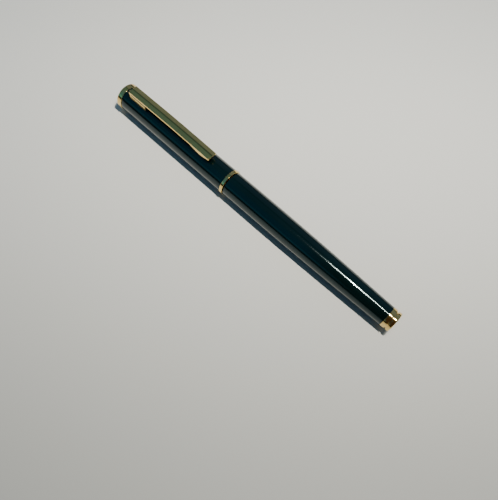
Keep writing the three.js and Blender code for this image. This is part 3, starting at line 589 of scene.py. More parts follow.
SEAL_GROOVE_DEPTH = 0.45 * MM
COUPLING_WALL = 0.6 * MM
COUPLING_CHAMFER = 0.4 * MM
COUPLING_THREAD_START = 0.3 * MM
COUPLING_THREAD_RUN_OUT = 0.5 * MM
THREAD_CUT = 1.25  # how much deeper this thread is cut than the bush's ridge stands
GRIP_BORE = 3.3 * MM

coupling_start, coupling_end = span("section_coupling")
seal_start, seal_end = span("section_o_ring")
clutch_ring_start, clutch_ring_end = span("clutch_ring")
thread_radius = bush_bore - RUN
groove_radius = thread_radius - SEAL_GROOVE_DEPTH
seat_end = clutch_ring_end + FIT
coupling_bore = groove_radius - COUPLING_WALL
coupling_outline = rounded([
    [coupling_start, coupling_bore, SOFT_EDGE],
    [coupling_start, thread_radius - COUPLING_CHAMFER, FINE_EDGE],
    [coupling_start + COUPLING_CHAMFER, thread_radius],
    [seal_start - FIT, thread_radius, FIT],
    [seal_start - FIT, groove_radius, FIT], [seal_end + FIT, groove_radius, FIT],
    [seal_end + FIT, thread_radius, FIT],
    [seat_end, thread_radius, FIT], [seat_end, GRIP_BORE - FIT],
    [coupling_end, GRIP_BORE - FIT, PLAIN_EDGE], [coupling_end, coupling_bore, SOFT_EDGE],
    [coupling_start, coupling_bore, SOFT_EDGE],
], steps=3)
coupling = turned(
    "coupling_body", fine(coupling_outline, THREAD_STEP), [brass], sides=112,
    relief=lambda x, angle, radius: np.where(
        (radius > thread_radius - FIT / 2) & (x < seal_start),
        -thread(x, angle, coupling_start + COUPLING_THREAD_START,
                seal_start - COUPLING_THREAD_RUN_OUT, THREAD_PITCH, THREAD_CUT * THREAD_DEPTH), 0))
stands_for(coupling, "section_coupling")

# ---- O-ring on the coupling -------------------------------------------------------------------
# Moulded black rubber ring that seals the section against the barrel. It sits stretched in its
# groove and stands a hair proud of the brass.

rubber = new_finish("seal_rubber")
bloom = rubber.band(rubber.noise(1.2 * MM, detail=5, roughness=0.65), 0, 1, 0.4, 0.75)
rubber.give(
    base_color=rubber.blend(bloom, (0.010, 0.010, 0.011, 1), (0.024, 0.024, 0.025, 1)),
    roughness=0.55 + 0.2 * bloom,
    normal=rubber.bump(rubber.noise(0.08 * MM, detail=3), 0.004 * MM),
)

O_RING_EDGE = 0.19 * MM

o_ring_outer = thread_radius + RUN / 2
o_ring_bore = groove_radius + RUN
o_ring = turned(
    "o_ring", ring_profile(seal_start, seal_end, o_ring_bore, o_ring_outer, O_RING_EDGE),
    [rubber], sides=128)
stands_for(o_ring, "section_o_ring")

# ---- Clutch ring ------------------------------------------------------------------------------
# Gold-plated ring that turns freely on the coupling between barrel and grip. The cap's lip stops
# against the shoulder behind it.

CLUTCH_RING_STEP = 0.2 * MM

clutch_ring_radius = radius_of("clutch_ring")
clutch_ring_profile = ring_profile(
    clutch_ring_start, clutch_ring_end, thread_radius + RUN, clutch_ring_radius, PLAIN_EDGE)
clutch_ring = turned(
    "clutch_seat_ring", fine(clutch_ring_profile, CLUTCH_RING_STEP), [turned_gold], sides=160)
stands_for(clutch_ring, "clutch_ring")

# ---- Grip -------------------------------------------------------------------------------------
# Moulded and polished black resin shell with a soft waist behind a slight flare. It is pressed on
# to the coupling's spigot and holds the nib collar in its front bore.


def black_resin(name, roughness):
    """Moulded black resin: a soft gloss with faint handling marks and flow mottle."""
    resin = new_finish(name)
    mottle = resin.noise(3.0 * MM, detail=4, roughness=0.6)
    scuff = resin.band(resin.noise(0.3 * MM, detail=4, stretch=(8, 1, 1)), 0, 1, 0.6, 0.75)
    resin.give(
        base_color=resin.blend(mottle, (0.0045, 0.0045, 0.0050, 1), (0.0090, 0.0090, 0.0095, 1)),
        roughness=roughness + 0.06 * mottle + 0.10 * scuff,
        specular_ior_level=0.5,
        normal=resin.bump(mottle + 0.1 * scuff, 0.001 * MM),
    )
    return resin


polished_resin = black_resin("polished_black_resin", 0.12)
moulded_resin = black_resin("moulded_black_resin", 0.28)

GRIP_WAIST_AT = 0.85
GRIP_WAIST_DROP = 0.85 * MM
GRIP_FLARE = 0.2 * MM


def eased(value):
    """Smooth step from 0 to 1: three times the square less twice the cube."""
    t = np.clip(value, 0, 1)
    return t * t * (3 - 2 * t)


grip_start, grip_end = span("section_grip")
grip_radius = radius_of("section_grip")
collar_radius = radius_of("nib_collar", INNER_SIDES)
collar_bore = collar_radius + FIT
grip_along = np.linspace(grip_start, grip_end, 60)
grip_t = (grip_along - grip_start) / (grip_end - grip_start)
grip_drop = GRIP_WAIST_DROP * eased(grip_t / GRIP_WAIST_AT)
grip_flare = GRIP_FLARE * eased((grip_t - GRIP_WAIST_AT) / (1 - GRIP_WAIST_AT))
grip_outside = np.stack([grip_along, grip_radius - grip_drop + grip_flare], axis=1)
grip_stop = coupling_end + FIT
grip_front = rounded([grip_outside[-2], [*grip_outside[-1], THIN_EDGE],
                      [grip_end, collar_bore, THIN_EDGE],
                      [grip_stop, collar_bore]])
grip_rear = rounded([[grip_stop, GRIP_BORE], [grip_start, GRIP_BORE, THIN_EDGE],
                     [*grip_outside[0], MEDIUM_EDGE], grip_outside[1]])
grip_profile = np.concatenate([grip_outside[1:-1], grip_front[1:], grip_rear])
grip = turned("grip_shell", grip_profile, [polished_resin], sides=160)
stands_for(grip, "section_grip")

# ---- Front ring -------------------------------------------------------------------------------
# Gold-plated ring pressed over the collar at the front of the grip, its front edge well rounded.

front_start, front_end = span("section_front_ring")
front_radius = radius_of("section_front_ring")
front_ring = turned("front_ring_trim", rounded([
    [front_start, collar_bore], [front_start, front_radius, MEDIUM_EDGE],
    [front_end, front_radius, FULL_EDGE],
    [front_end, collar_bore], [front_start, collar_bore],
], steps=8), [turned_gold], sides=160)
stands_for(front_ring, "section_front_ring")

# ---- Nib collar -------------------------------------------------------------------------------
# Thin moulded sleeve that holds the nib and feed together and is pressed into the grip.

collar_start, collar_end = span("nib_collar")
COLLAR_WALL = 0.35 * MM
collar = turned(
    "nib_collar_sleeve",
    ring_profile(collar_start, collar_end, collar_radius - COLLAR_WALL, collar_radius, SOFT_EDGE),
    [moulded_resin], sides=128)
stands_for(collar, "nib_collar")

# ---- Nib --------------------------------------------------------------------------------------
# Gold sheet, blanked, pressed to an arch and slit from a round breather hole to the point, where a
# hard pellet is welded on and ground. A fine double line is engraved along both edges.

NIB_SHEET = 0.25 * MM
NIB_ARCH = 0.94
NIB_SHOULDER = 5 * MM
NIB_TIP_HALF = 0.35 * MM
NIB_TIP_DROP = 1.6 * MM
NIB_TIP_ROUND = 0.5 * MM
SLIT_HALF = 0.08 * MM
SLIT_LENGTH = 11.5 * MM
BREATHER_RADIUS = 0.5 * MM
ENGRAVED_AT = (0.42 * MM, 0.62 * MM)
ENGRAVED_DEPTH = 0.022 * MM
ENGRAVED_WIDTH = 0.035 * MM
ENGRAVED_START = 0.6 * MM
ENGRAVED_END = 5 * MM
PELLET_DEPTH = 0.22 * MM
PELLET_LENGTH = 0.9 * MM
NIB_COLUMNS = 56

nib_heel, nib_tip = span("nib")
nib_radius = collar_radius - COLLAR_WALL - FIT
nib_shoulder_half = (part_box("nib")[1].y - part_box("nib")[0].y) / 2
breather_at = nib_tip - SLIT_LENGTH


def nib_crown(x):
    """Height of the crown line: level in the collar, then falling with the square of the reach."""
    t = np.clip((x - collar_end) / (nib_tip - collar_end), 0, None)
    return nib_radius - NIB_TIP_DROP * t * t


def nib_half_width(x):
    """Half the width in plan: grows smoothly to the shoulders, then tapers to a rounded point."""
    shoulder = collar_end + NIB_SHOULDER
    heel = nib_radius * NIB_ARCH
    grown = heel + (nib_shoulder_half - heel) * eased((x - collar_end) / NIB_SHOULDER)
    left = np.clip((nib_tip - x) / (nib_tip - shoulder), 0, 1)
    tapered = NIB_TIP_HALF + (nib_shoulder_half - NIB_TIP_HALF) * left ** 0.8
    end = np.clip((x - nib_tip + NIB_TIP_ROUND) / NIB_TIP_ROUND, 0, 0.9)
    return np.where(x < shoulder, grown, tapered) * np.sqrt(1 - end ** 2)


def nib_half():
    """One half of the nib as a closed strip: out over the arch from the slit and back under it.

    The two parameters are the place along the nib and the angle over the arch. The slit's edge
    stands off the middle by the slit's half width, or by the breather's circle round its centre.
    """
    hole = breather_at - BREATHER_RADIUS * np.cos(np.linspace(0, math.pi, 33))
    x = np.concatenate([
        np.linspace(nib_heel, collar_end, 14)[:-1], np.linspace(collar_end, hole[0], 46)[:-1], hole,
        np.linspace(hole[-1], nib_tip - NIB_TIP_ROUND, 90)[1:],
        nib_tip - NIB_TIP_ROUND * np.cos(np.linspace(0, math.pi / 2, 12))[1:],
    ])[:, None]
    half = nib_half_width(x)
    bend = np.maximum(nib_radius, half / NIB_ARCH)
    reach = np.arcsin(np.minimum(NIB_ARCH, half / bend))
    circle = np.sqrt(np.clip(BREATHER_RADIUS ** 2 - (x - breather_at) ** 2, 0, None))
    gap = np.maximum(circle, np.where(x > breather_at, SLIT_HALF, 0))
    gap = np.where(np.abs(gap) < 1e-9, 0, gap)
    inner = np.arcsin(np.clip(gap / bend, 0, 0.9 * reach))
    angle = inner + (reach - inner) * np.linspace(0, 1, NIB_COLUMNS)[None, :]
    from_edge = (reach - angle) * bend
    marked_from = np.clip((x - collar_end - ENGRAVED_START) / MM, 0, 1)
    marked = marked_from * np.clip((nib_tip - ENGRAVED_END - x) / MM, 0, 1)
    groove = sum(np.exp(-((from_edge - at) / ENGRAVED_WIDTH) ** 2) for at in ENGRAVED_AT)
    outer_radius = bend - ENGRAVED_DEPTH * groove * marked
    pellet = PELLET_DEPTH * np.sqrt(np.clip(1 - ((nib_tip - x) / PELLET_LENGTH) ** 2, 0, 1))
    inner_radius = bend - NIB_SHEET - pellet + 0 * angle
    middle = nib_crown(x) - bend
    over, under = (
        np.stack([x + 0 * angle, radius * np.sin(angle), middle + radius * np.cos(angle)], axis=-1)
        for radius in (outer_radius, inner_radius))
    under[..., 1] = np.maximum(under[..., 1], gap)
    return np.concatenate([over, under[:, ::-1]], axis=1), gap[:, 0] > 0


half_points, slit_open = nib_half()
nib_rows, nib_loop = half_points.shape[:2]
nib_quads = grid_faces(nib_rows, nib_loop).reshape(nib_rows - 1, nib_loop, 4)
shut = ~(slit_open[1:] | slit_open[:-1])
nib_sides = np.concatenate([nib_quads[:, :-1].reshape(-1, 4), nib_quads[~shut, -1]])
cap_index = np.arange(NIB_COLUMNS - 1)
heel_cap = np.stack([
    cap_index, cap_index + 1, nib_loop - 2 - cap_index, nib_loop - 1 - cap_index], axis=1)
tip_cap = heel_cap + (nib_rows - 1) * nib_loop
half_faces = np.concatenate([nib_sides, heel_cap, tip_cap])
other_half = half_points * np.array([1, -1, 1])
nib_gold = gold_plate("polished_nib_gold", (30, 1, 1))
pellet_metal = new_finish("ground_pellet")
pellet_metal.give(
    base_color=(0.55, 0.53, 0.50, 1), metallic=1.0,
    roughness=0.22 + 0.12 * pellet_metal.noise(0.1 * MM, detail=3),
)
nib = piece(
    "nib_sheet", np.concatenate([half_points.reshape(-1, 3), other_half.reshape(-1, 3)]),
    np.concatenate([half_faces, half_faces + nib_rows * nib_loop]),
    [nib_gold, pellet_metal], smooth=40)
paint_where(nib, 1, lambda centres, normals: centres[:, 0] > nib_tip - PELLET_LENGTH)
stands_for(nib, "nib")

# ---- Feed -------------------------------------------------------------------------------------
# Moulded resin bar under the nib. It follows the nib's crown line and thins towards its tip, and
# cross slots below hold the ink that would otherwise drip.

FEED_FINS = 7
FIN_SLOT = 0.4 * MM
FIN_PITCH = 0.9 * MM
FIN_ROOT = 1.1 * MM
FINS_AFTER = 1 * MM
FEED_TIP_RADIUS = 0.75 * MM
FEED_NOSE = 0.2 * MM
FEED_HEEL = 0.1 * MM
SLOT_EDGE = 0.01 * MM
FEED_COLUMNS = 72

feed_start, feed_end = span("feed")
feed_radius = nib_radius - NIB_SHEET - FIT


def edge_gap(depth, radius):
    """How far a quarter-round edge stands back at a depth behind its end.

    It is the radius less the height of the circle at that depth, and none past the radius.
    """
    return radius - np.sqrt(radius ** 2 - np.clip(radius - depth, 0, radius) ** 2)


def feed_points():
    """Rings along the feed, closed to a point at both ends.

    Each ring is a circle whose top touches the nib. In a slot its underside is raised to the flat
    at the slot's root.
    """
    slots = collar_end + FINS_AFTER + FIN_PITCH * np.arange(FEED_FINS)
    sides = np.concatenate([
        slots - SLOT_EDGE, slots, slots + FIN_SLOT, slots + FIN_SLOT + SLOT_EDGE])
    heel = [feed_start, feed_start + FEED_HEEL]
    plain = np.linspace(feed_start + MM, feed_end - FEED_NOSE, 40)
    nose = feed_end - FEED_NOSE * (1 - np.sin(np.linspace(0, math.pi / 2, 7)))
    x = np.unique(np.concatenate([heel, plain, sides, nose]))[:, None]
    t = np.clip((x - collar_end) / (feed_end - collar_end), 0, None)
    radius = feed_radius + (FEED_TIP_RADIUS - feed_radius) * t
    middle = nib_crown(x) - NIB_SHEET - FIT - radius
    nose_round = edge_gap(feed_end - x, FEED_NOSE)
    heel_round = np.clip(feed_start + FEED_HEEL - x, 0, None)
    radius = radius - nose_round - heel_round
    turn = np.arange(FEED_COLUMNS) * 2 * math.pi / FEED_COLUMNS
    y, z = radius * np.sin(turn), middle + radius * np.cos(turn)
    in_slot = (np.abs(x - slots - FIN_SLOT / 2) <= FIN_SLOT / 2 + 1e-9).any(axis=1, keepdims=True)
    z = np.where(in_slot, np.maximum(z, FIN_ROOT - feed_radius), z)
    rings = np.stack([x + 0 * y, y, z], axis=-1)
    ends = [np.broadcast_to(rings[i].mean(axis=0), rings[:1].shape) for i in (0, -1)]
    return np.concatenate([ends[0], rings, ends[1]])


feed_grid = feed_points()
feed_bar = piece(
    "feed_bar", feed_grid, grid_faces(len(feed_grid), FEED_COLUMNS), [moulded_resin], smooth=30)
stands_for(feed_bar, "feed")

# ---- Ink nipple -------------------------------------------------------------------------------
# Moulded flange behind the feed with a hollow spike that the converter's mouth is pushed over.

NIPPLE_BORE = 0.5 * MM
NIPPLE_RADIUS = 1.2 * MM
NIPPLE_FLANGE = 2 * MM
NIPPLE_TAPER = 0.15 * MM
NIPPLE_LEAD = 0.9 * MM
NIPPLE_BEND = 0.4 * MM

nipple_start, nipple_end = span("ink_nipple")
flange_start = nipple_end - NIPPLE_FLANGE
nipple = turned("ink_nipple_spike", rounded([
    [nipple_start, NIPPLE_BORE], [nipple_start, NIPPLE_RADIUS - NIPPLE_TAPER, SOFT_EDGE],
    [nipple_start + NIPPLE_LEAD, NIPPLE_RADIUS, NIPPLE_BEND],
    [flange_start, NIPPLE_RADIUS, BROAD_EDGE], [flange_start, collar_radius, SOFT_EDGE],
    [nipple_end, collar_radius, SOFT_EDGE], [nipple_end, NIPPLE_BORE], [nipple_start, NIPPLE_BORE],
]), [moulded_resin], sides=96)
stands_for(nipple, "ink_nipple")

# ---- Converter mouth and chamber --------------------------------------------------------------
# A black mouthpiece grips the nipple, and its spigot closes the clear tube that holds the ink.

CHAMBER_WALL = 0.35 * MM
MOUTH_LEAD = 0.25 * MM

mouth_start, mouth_end = span("converter_mouth")
chamber_start, chamber_end = span("converter_chamber")
converter_radius = radius_of("converter_mouth", INNER_SIDES)
chamber_bore = converter_radius - CHAMBER_WALL
mouth_step = chamber_end + FIT
mouth_bore = NIPPLE_RADIUS + RUN
mouthpiece = turned("converter_mouthpiece", rounded([
    [mouth_start, mouth_bore], [mouth_start, chamber_bore - FIT, ROUND_EDGE],
    [mouth_step, chamber_bore - FIT],
    [mouth_step, converter_radius, SOFT_EDGE], [mouth_end, converter_radius, FULL_EDGE],
    [mouth_end, mouth_bore, MOUTH_LEAD], [mouth_start, mouth_bore],
]), [moulded_resin], sides=96)
stands_for(mouthpiece, "converter_mouth")

clear = new_finish("clear_chamber")
clear_film = clear.noise(1.5 * MM, detail=4, roughness=0.6)
clear.give(
    base_color=clear.blend(clear_film, (0.93, 0.96, 0.96, 1), (0.86, 0.90, 0.91, 1)),
    roughness=0.03 + 0.05 * clear_film,
    transmission_weight=1.0,
    ior=1.49,
)
chamber = turned(
    "ink_chamber",
    ring_profile(chamber_start, chamber_end, chamber_bore, converter_radius, THIN_EDGE),
    [clear], sides=128)
stands_for(chamber, "converter_chamber")

# ---- Converter housing and band ---------------------------------------------------------------
# The black housing of the screw drive is necked under a plated steel band, which hides and holds
# the joint with the clear chamber.


def plated_steel(name, stretch, roughness):
    """Nickel-plated or bare steel, brushed along one axis, with a few dull spots."""
    steel = new_finish(name)
    lines = steel.noise(0.07 * MM, detail=4, roughness=0.65, stretch=stretch)
    dull = steel.band(steel.noise(1.8 * MM, detail=4), 0, 1, 0.5, 0.8)
    steel.give(
        base_color=steel.blend(dull, (0.60, 0.60, 0.61, 1), (0.42, 0.41, 0.40, 1)),
        metallic=1.0,
        roughness=roughness + 0.12 * lines + 0.12 * dull,
        normal=steel.bump(lines, 0.002 * MM),
    )
    return steel


HOUSING_WALL = 0.4 * MM
HOUSING_STEP = 0.5 * MM
BAND_LINES_FROM_ENDS = 0.8 * MM
BAND_LINE_DEPTH = 0.06 * MM
BAND_LINE_WIDTH = 0.09 * MM
BAND_STEP = 0.08 * MM

turned_steel = plated_steel("turned_steel", (1, 60, 60), 0.14)
band_start, band_end = span("converter_band")
housing_start, housing_end = span("converter_housing")
housing_radius = radius_of("converter_housing", INNER_SIDES)
housing_bore = converter_radius - HOUSING_WALL
neck_start = band_start - FIT
housing = turned("drive_housing", fine(rounded([
    [housing_start, housing_bore, SOFT_EDGE], [housing_start, housing_radius, BROAD_EDGE],
    [neck_start, housing_radius, FINE_EDGE], [neck_start, converter_radius],
    [housing_end, converter_radius, FINE_EDGE],
    [housing_end, housing_bore], [housing_start, housing_bore, SOFT_EDGE],
]), HOUSING_STEP), [moulded_resin], sides=112)
stands_for(housing, "converter_housing")
band_lines = [band_start + BAND_LINES_FROM_ENDS, band_end - BAND_LINES_FROM_ENDS]
band = turned(
    "chamber_band",
    fine(ring_profile(band_start, band_end, converter_radius + FIT, housing_radius, PLAIN_EDGE),
         BAND_STEP),
    [turned_steel], sides=128,
    relief=lambda x, angle, radius: np.where(
        radius > housing_radius - FIT / 2,
        -BAND_LINE_DEPTH * sum(np.exp(-((x - at) / BAND_LINE_WIDTH) ** 2) for at in band_lines), 0))
stands_for(band, "converter_band")

# ---- Converter knob ---------------------------------------------------------------------------
# Fluted moulded knob that turns the brass nut inside the housing. It is hollow for the rod's rear.

KNOB_FLUTES = 16
KNOB_FLUTE_DEPTH = 0.18 * MM
KNOB_END_WALL = 1.5 * MM
KNOB_END_EDGE = 0.5 * MM
KNOB_RIM = 0.8 * MM
KNOB_RUN_OUT = 0.6 * MM
KNOB_STEP = 0.3 * MM
ROD_RADIUS = 1.1 * MM

knob_start, knob_end = span("converter_knob")
nut_bore = ROD_RADIUS + RUN


def fluted(x, angle, radius):
    """Flutes: a cosine round the knob, full in the middle and run out near the two rims."""
    from_rim = np.minimum(x - knob_start, knob_end - x) - KNOB_RIM
    wave = 0.5 - 0.5 * np.cos(KNOB_FLUTES * angle)
    outside = radius > (converter_radius + nut_bore) / 2
    return np.where(outside, -KNOB_FLUTE_DEPTH * wave * eased(from_rim / KNOB_RUN_OUT), 0)


knob = turned("drive_knob", fine(rounded([
    [knob_start, 0], [knob_start, converter_radius, KNOB_END_EDGE],
    [knob_end, converter_radius, BROAD_EDGE], [knob_end, nut_bore, THIN_EDGE],
    [knob_start + KNOB_END_WALL, nut_bore], [knob_start + KNOB_END_WALL, 0],
]), KNOB_STEP), [moulded_resin], sides=192, relief=fluted)
stands_for(knob, "converter_knob")

# ---- Drive nut and piston rod -----------------------------------------------------------------
# The brass nut's steep thread of three starts drives the steel rod along the chamber, a little
# under three millimetres for each turn of the knob.

ROD_STARTS = 3
PISTON_STROKE = 22 * MM
KNOB_TURNS = 8
ROD_PITCH = PISTON_STROKE / KNOB_TURNS / ROD_STARTS
ROD_THREAD_DEPTH = 0.16 * MM
ROD_PLAIN_END = 0.3 * MM
ROD_RUN_OUT = 0.5 * MM
ROD_STEP = 0.12 * MM

nut_start, nut_end = span("converter_drive_nut")
nut_radius = radius_of("converter_drive_nut", INNER_SIDES)
drive_nut = turned(
    "drive_nut", fine(ring_profile(nut_start, nut_end, nut_bore, nut_radius, PLAIN_EDGE), ROD_STEP),
    [brass], sides=72,
    relief=lambda x, angle, radius: np.where(
        radius < nut_bore + FIT,
        thread(x, angle, nut_start + ROD_PLAIN_END, nut_end - ROD_PLAIN_END,
               ROD_PITCH, ROD_THREAD_DEPTH, ROD_STARTS), 0))
stands_for(drive_nut, "converter_drive_nut")

rod_start, rod_end = span("piston_rod")
seal_back, seal_front = span("piston_seal")
rod = turned(
    "piston_rod_screw", fine(rounded([
        [rod_start, 0], [rod_start, ROD_RADIUS, ROUND_EDGE],
        [rod_end, ROD_RADIUS, FULL_EDGE], [rod_end, 0],
    ]), ROD_STEP), [turned_steel], sides=72,
    relief=lambda x, angle, radius: np.where(
        radius > ROD_RADIUS - FIT,
        -thread(x, angle, rod_start + ROD_PLAIN_END, seal_back - ROD_RUN_OUT,
                ROD_PITCH, ROD_THREAD_DEPTH, ROD_STARTS), 0))
stands_for(rod, "piston_rod")

# ---- Piston seal ------------------------------------------------------------------------------
# Moulded rubber seal with two lips that wipe the chamber's bore, clipped on the rod's front.

SEAL_WAIST = 0.4 * MM
SEAL_SLOPE = 1.4  # lip widths from the seal's end to its waist
seal_radius = radius_of("piston_seal", INNER_SIDES)
seal_bore = ROD_RADIUS + FIT
seal_lip = (seal_front - seal_back) / 4
piston_seal = turned("piston_wiper", rounded([
    [seal_back, seal_bore], [seal_back, seal_radius, ROUND_EDGE],
    [seal_back + seal_lip, seal_radius, MEDIUM_EDGE],
    [seal_back + SEAL_SLOPE * seal_lip, seal_radius - SEAL_WAIST, FULL_EDGE],
    [seal_front - SEAL_SLOPE * seal_lip, seal_radius - SEAL_WAIST, FULL_EDGE],
    [seal_front - seal_lip, seal_radius, MEDIUM_EDGE],
    [seal_front, seal_radius, ROUND_EDGE], [seal_front, seal_bore], [seal_back, seal_bore],
]), [rubber], sides=112)
stands_for(piston_seal, "piston_seal")

# ---- Cap tube ---------------------------------------------------------------------------------
# Drawn brass tube, lacquered and polished like the barrel, necked at both ends for its gold rings.
# A shoulder inside backs the clip's bracket, and a slot lets the clip's tongue through the wall.

CAP_WALL = 0.42 * MM
CAP_NECK_WALL = 0.2 * MM
SHOULDER_FROM_END = 1.45 * MM
SHOULDER_LENGTH = 0.55 * MM
SHOULDER_DEPTH = 0.65 * MM
TONGUE_WIDTH = 2.4 * MM
TONGUE_LENGTH = 3 * MM
TONGUE_FROM_END = 2.6 * MM
TONGUE_CLEARANCE = 0.4 * MM
SLOT_ROUNDING = 0.3 * MM
SLOT_TOOL_BOTTOM = 2 * MM
SLOT_TOOL_TOP = 8 * MM
CAP_EDGE = 0.04 * MM
CAP_STEP = 1.5 * MM

neck_first, neck_last = span("cap_tube")
lip_start, cap_start = span("cap_lip_band")
cap_end, pen_end = span("cap_top_ring")
clip_tip, clip_end = span("clip")
cap_radius = radius_of("cap_tube")
cap_bore = cap_radius - CAP_WALL
cap_neck = cap_bore + CAP_NECK_WALL
shoulder_end = cap_end - SHOULDER_FROM_END
shoulder_start = shoulder_end - SHOULDER_LENGTH
tongue_end = clip_end - TONGUE_FROM_END
tongue_start = tongue_end - TONGUE_LENGTH


def loft(levels, outline):
    """Closed grid through copies of a flat outline: [height, inset] levels, drawn in at both ends.

    Each level is the outline shrunk towards its middle by the inset, and a last ring at the middle
    closes each end.
    """
    middle = (outline.max(axis=0) + outline.min(axis=0)) / 2
    half = (outline.max(axis=0) - outline.min(axis=0)) / 2
    rings = np.array([
        np.column_stack([
            middle + (outline - middle) * (1 - inset / half), np.full(len(outline), height)])
        for height, inset in levels])
    ends = rings[[0, -1]]
    ends[:, :, :2] = middle
    return np.concatenate([ends[:1], rings, ends[1:]])


def round_rectangle(x0, x1, y0, y1, rounding, steps=6):
    """Outline of a rectangle with its corners rounded, as [x, y] points."""
    turn = np.linspace(0, math.pi / 2, steps)
    quarter = np.stack([np.cos(turn), np.sin(turn)], axis=1) * rounding
    turned_quarter = [quarter @ np.array([[c, s], [-s, c]])
                      for c, s in ((1, 0), (0, 1), (-1, 0), (0, -1))]
    corners = [(x1 - rounding, y1 - rounding), (x0 + rounding, y1 - rounding),
               (x0 + rounding, y0 + rounding), (x1 - rounding, y0 + rounding)]
    return np.concatenate([arc + np.array(corner) for arc, corner in zip(turned_quarter, corners)])


def bar(name, x0, x1, y0, y1, z0, z1, finishes, rounding, edge=0):
    """Upright bar with a rounded outline and, if asked, softened top and bottom edges."""
    levels = [[z0, 0], [z1, 0]]
    if edge:
        levels = [[z0, edge], [z0 + edge, 0], [z1 - edge, 0], [z1, edge]]
    grid = loft(levels, round_rectangle(x0, x1, y0, y1, rounding))
    return piece(name, grid, grid_faces(*grid.shape[:2]), finishes)


def carve(made, tool, operation="DIFFERENCE", smooth=35):
    """Cuts a tool away from a piece, or joins it on, and throws the tool away."""
    change = made.modifiers.new("carve", "BOOLEAN")
    change.object = tool
    change.operation = operation
    change.solver = "EXACT"
    bpy.context.view_layer.update()
    evaluated = made.evaluated_get(bpy.context.evaluated_depsgraph_get())
    shaped = bpy.data.meshes.new_from_object(evaluated)
    made.modifiers.clear()
    old, name = made.data, made.data.name
    made.data = shaped
    bpy.data.meshes.remove(old)
    bpy.data.objects.remove(tool)
    shaped.name = name
    shaped.shade_smooth()
    shaped.set_sharp_from_angle(angle=math.radians(smooth))


def tongue_slot():
    """Tool for the slot round the clip's tongue."""
    half = TONGUE_WIDTH / 2 + TONGUE_CLEARANCE
    return bar("slot_tool", tongue_start - TONGUE_CLEARANCE, tongue_end + TONGUE_CLEARANCE,
               -half, half, SLOT_TOOL_BOTTOM, SLOT_TOOL_TOP, [lacquer], SLOT_ROUNDING)


cap_outline = fine(rounded([
    [neck_first, cap_bore, CAP_EDGE], [neck_first, cap_neck, CAP_EDGE], [cap_start, cap_neck],
    [cap_start, cap_radius, CAP_EDGE], [cap_end, cap_radius, CAP_EDGE], [cap_end, cap_neck],
    [neck_last, cap_neck, CAP_EDGE], [neck_last, cap_bore, CAP_EDGE], [shoulder_end, cap_bore],
    [shoulder_end, cap_bore - SHOULDER_DEPTH, THIN_EDGE],
    [shoulder_start, cap_bore - SHOULDER_DEPTH, THIN_EDGE],
    [shoulder_start, cap_bore], [neck_first, cap_bore, CAP_EDGE],
], steps=3), CAP_STEP)
cap_tube = turned("cap_tube_shell", cap_outline, [lacquer, brass], sides=192)
carve(cap_tube, tongue_slot())
paint_where(cap_tube, 1, lambda centres, normals: (
    np.linalg.norm(centres[:, 1:], axis=1) < cap_radius - CAP_WALL / 2))
stands_for(cap_tube, "cap_tube")

# ---- Lip band ---------------------------------------------------------------------------------
# Gold-plated band wrapped over the cap's mouth. Both outer edges are rounded, and its front slopes
# back a little towards the barrel.

LIP_SLOPE = 0.2 * MM
LIP_EDGE = 0.17 * MM
band_radius = radius_of("cap_lip_band")
lip_band = turned("lip_band", rounded([
    [lip_start, cap_bore, FINE_EDGE], [lip_start + LIP_SLOPE, band_radius, LIP_EDGE],
    [cap_start, band_radius, LIP_EDGE], [cap_start, cap_neck + FIT],
    [neck_first, cap_neck + FIT], [neck_first, cap_bore], [lip_start, cap_bore, FINE_EDGE],
], steps=10), [turned_gold], sides=192)
stands_for(lip_band, "cap_lip_band")

# ---- Clutch sleeve ----------------------------------------------------------------------------
# Sprung brass sleeve behind the lip. Six slots divide it into fingers, and a bead near the mouth
# grips the section when the cap is pushed home.

CLUTCH_SLOTS = 6
CLUTCH_SLOT_HALF = 0.25 * MM
CLUTCH_SLOT_LENGTH = 8 * MM
CLUTCH_BEAD = 0.6 * MM
CLUTCH_SLOPE = 1 * MM
CLUTCH_WALL = 0.3 * MM
CLUTCH_STEP = 0.5 * MM

clutch_start, clutch_end = span("cap_clutch_sleeve")
liner_radius = radius_of("cap_clutch_sleeve")
clutch_bore = liner_radius - CLUTCH_WALL
bead_radius = grip_radius + RUN
bead_end = clutch_start + 2 * CLUTCH_BEAD
clutch_sleeve = turned("clutch_fingers", fine(rounded([
    [clutch_start, clutch_bore, FINE_EDGE], [clutch_start, liner_radius, FINE_EDGE],
    [clutch_end, liner_radius, FINE_EDGE], [clutch_end, clutch_bore, FINE_EDGE],
    [bead_end + CLUTCH_SLOPE, clutch_bore, FULL_EDGE], [bead_end, bead_radius, PLAIN_EDGE],
    [bead_end - CLUTCH_BEAD, bead_radius, PLAIN_EDGE], [clutch_start, clutch_bore, FINE_EDGE],
]), CLUTCH_STEP), [brass], sides=144)
for index in range(CLUTCH_SLOTS):
    slot_tool = bar("slot_tool", clutch_start - MM, clutch_start + CLUTCH_SLOT_LENGTH,
                    -CLUTCH_SLOT_HALF, CLUTCH_SLOT_HALF, grip_radius / 2, liner_radius + MM,
                    [brass], 0.95 * CLUTCH_SLOT_HALF)
    slot_tool.data.transform(Matrix.Rotation((index + 0.5) / CLUTCH_SLOTS * 2 * math.pi, 4, "X"))
    carve(clutch_sleeve, slot_tool)
stands_for(clutch_sleeve, "cap_clutch_sleeve")

# ---- Inner cap --------------------------------------------------------------------------------
# Moulded black liner, closed at its end, that seals round the nib. It narrows to clear the bracket.

INNER_CAP_WALL = 0.4 * MM
INNER_CAP_END = 0.6 * MM
INNER_CAP_STEP = 1.1 * MM
INNER_CAP_NARROW = 10.6 * MM

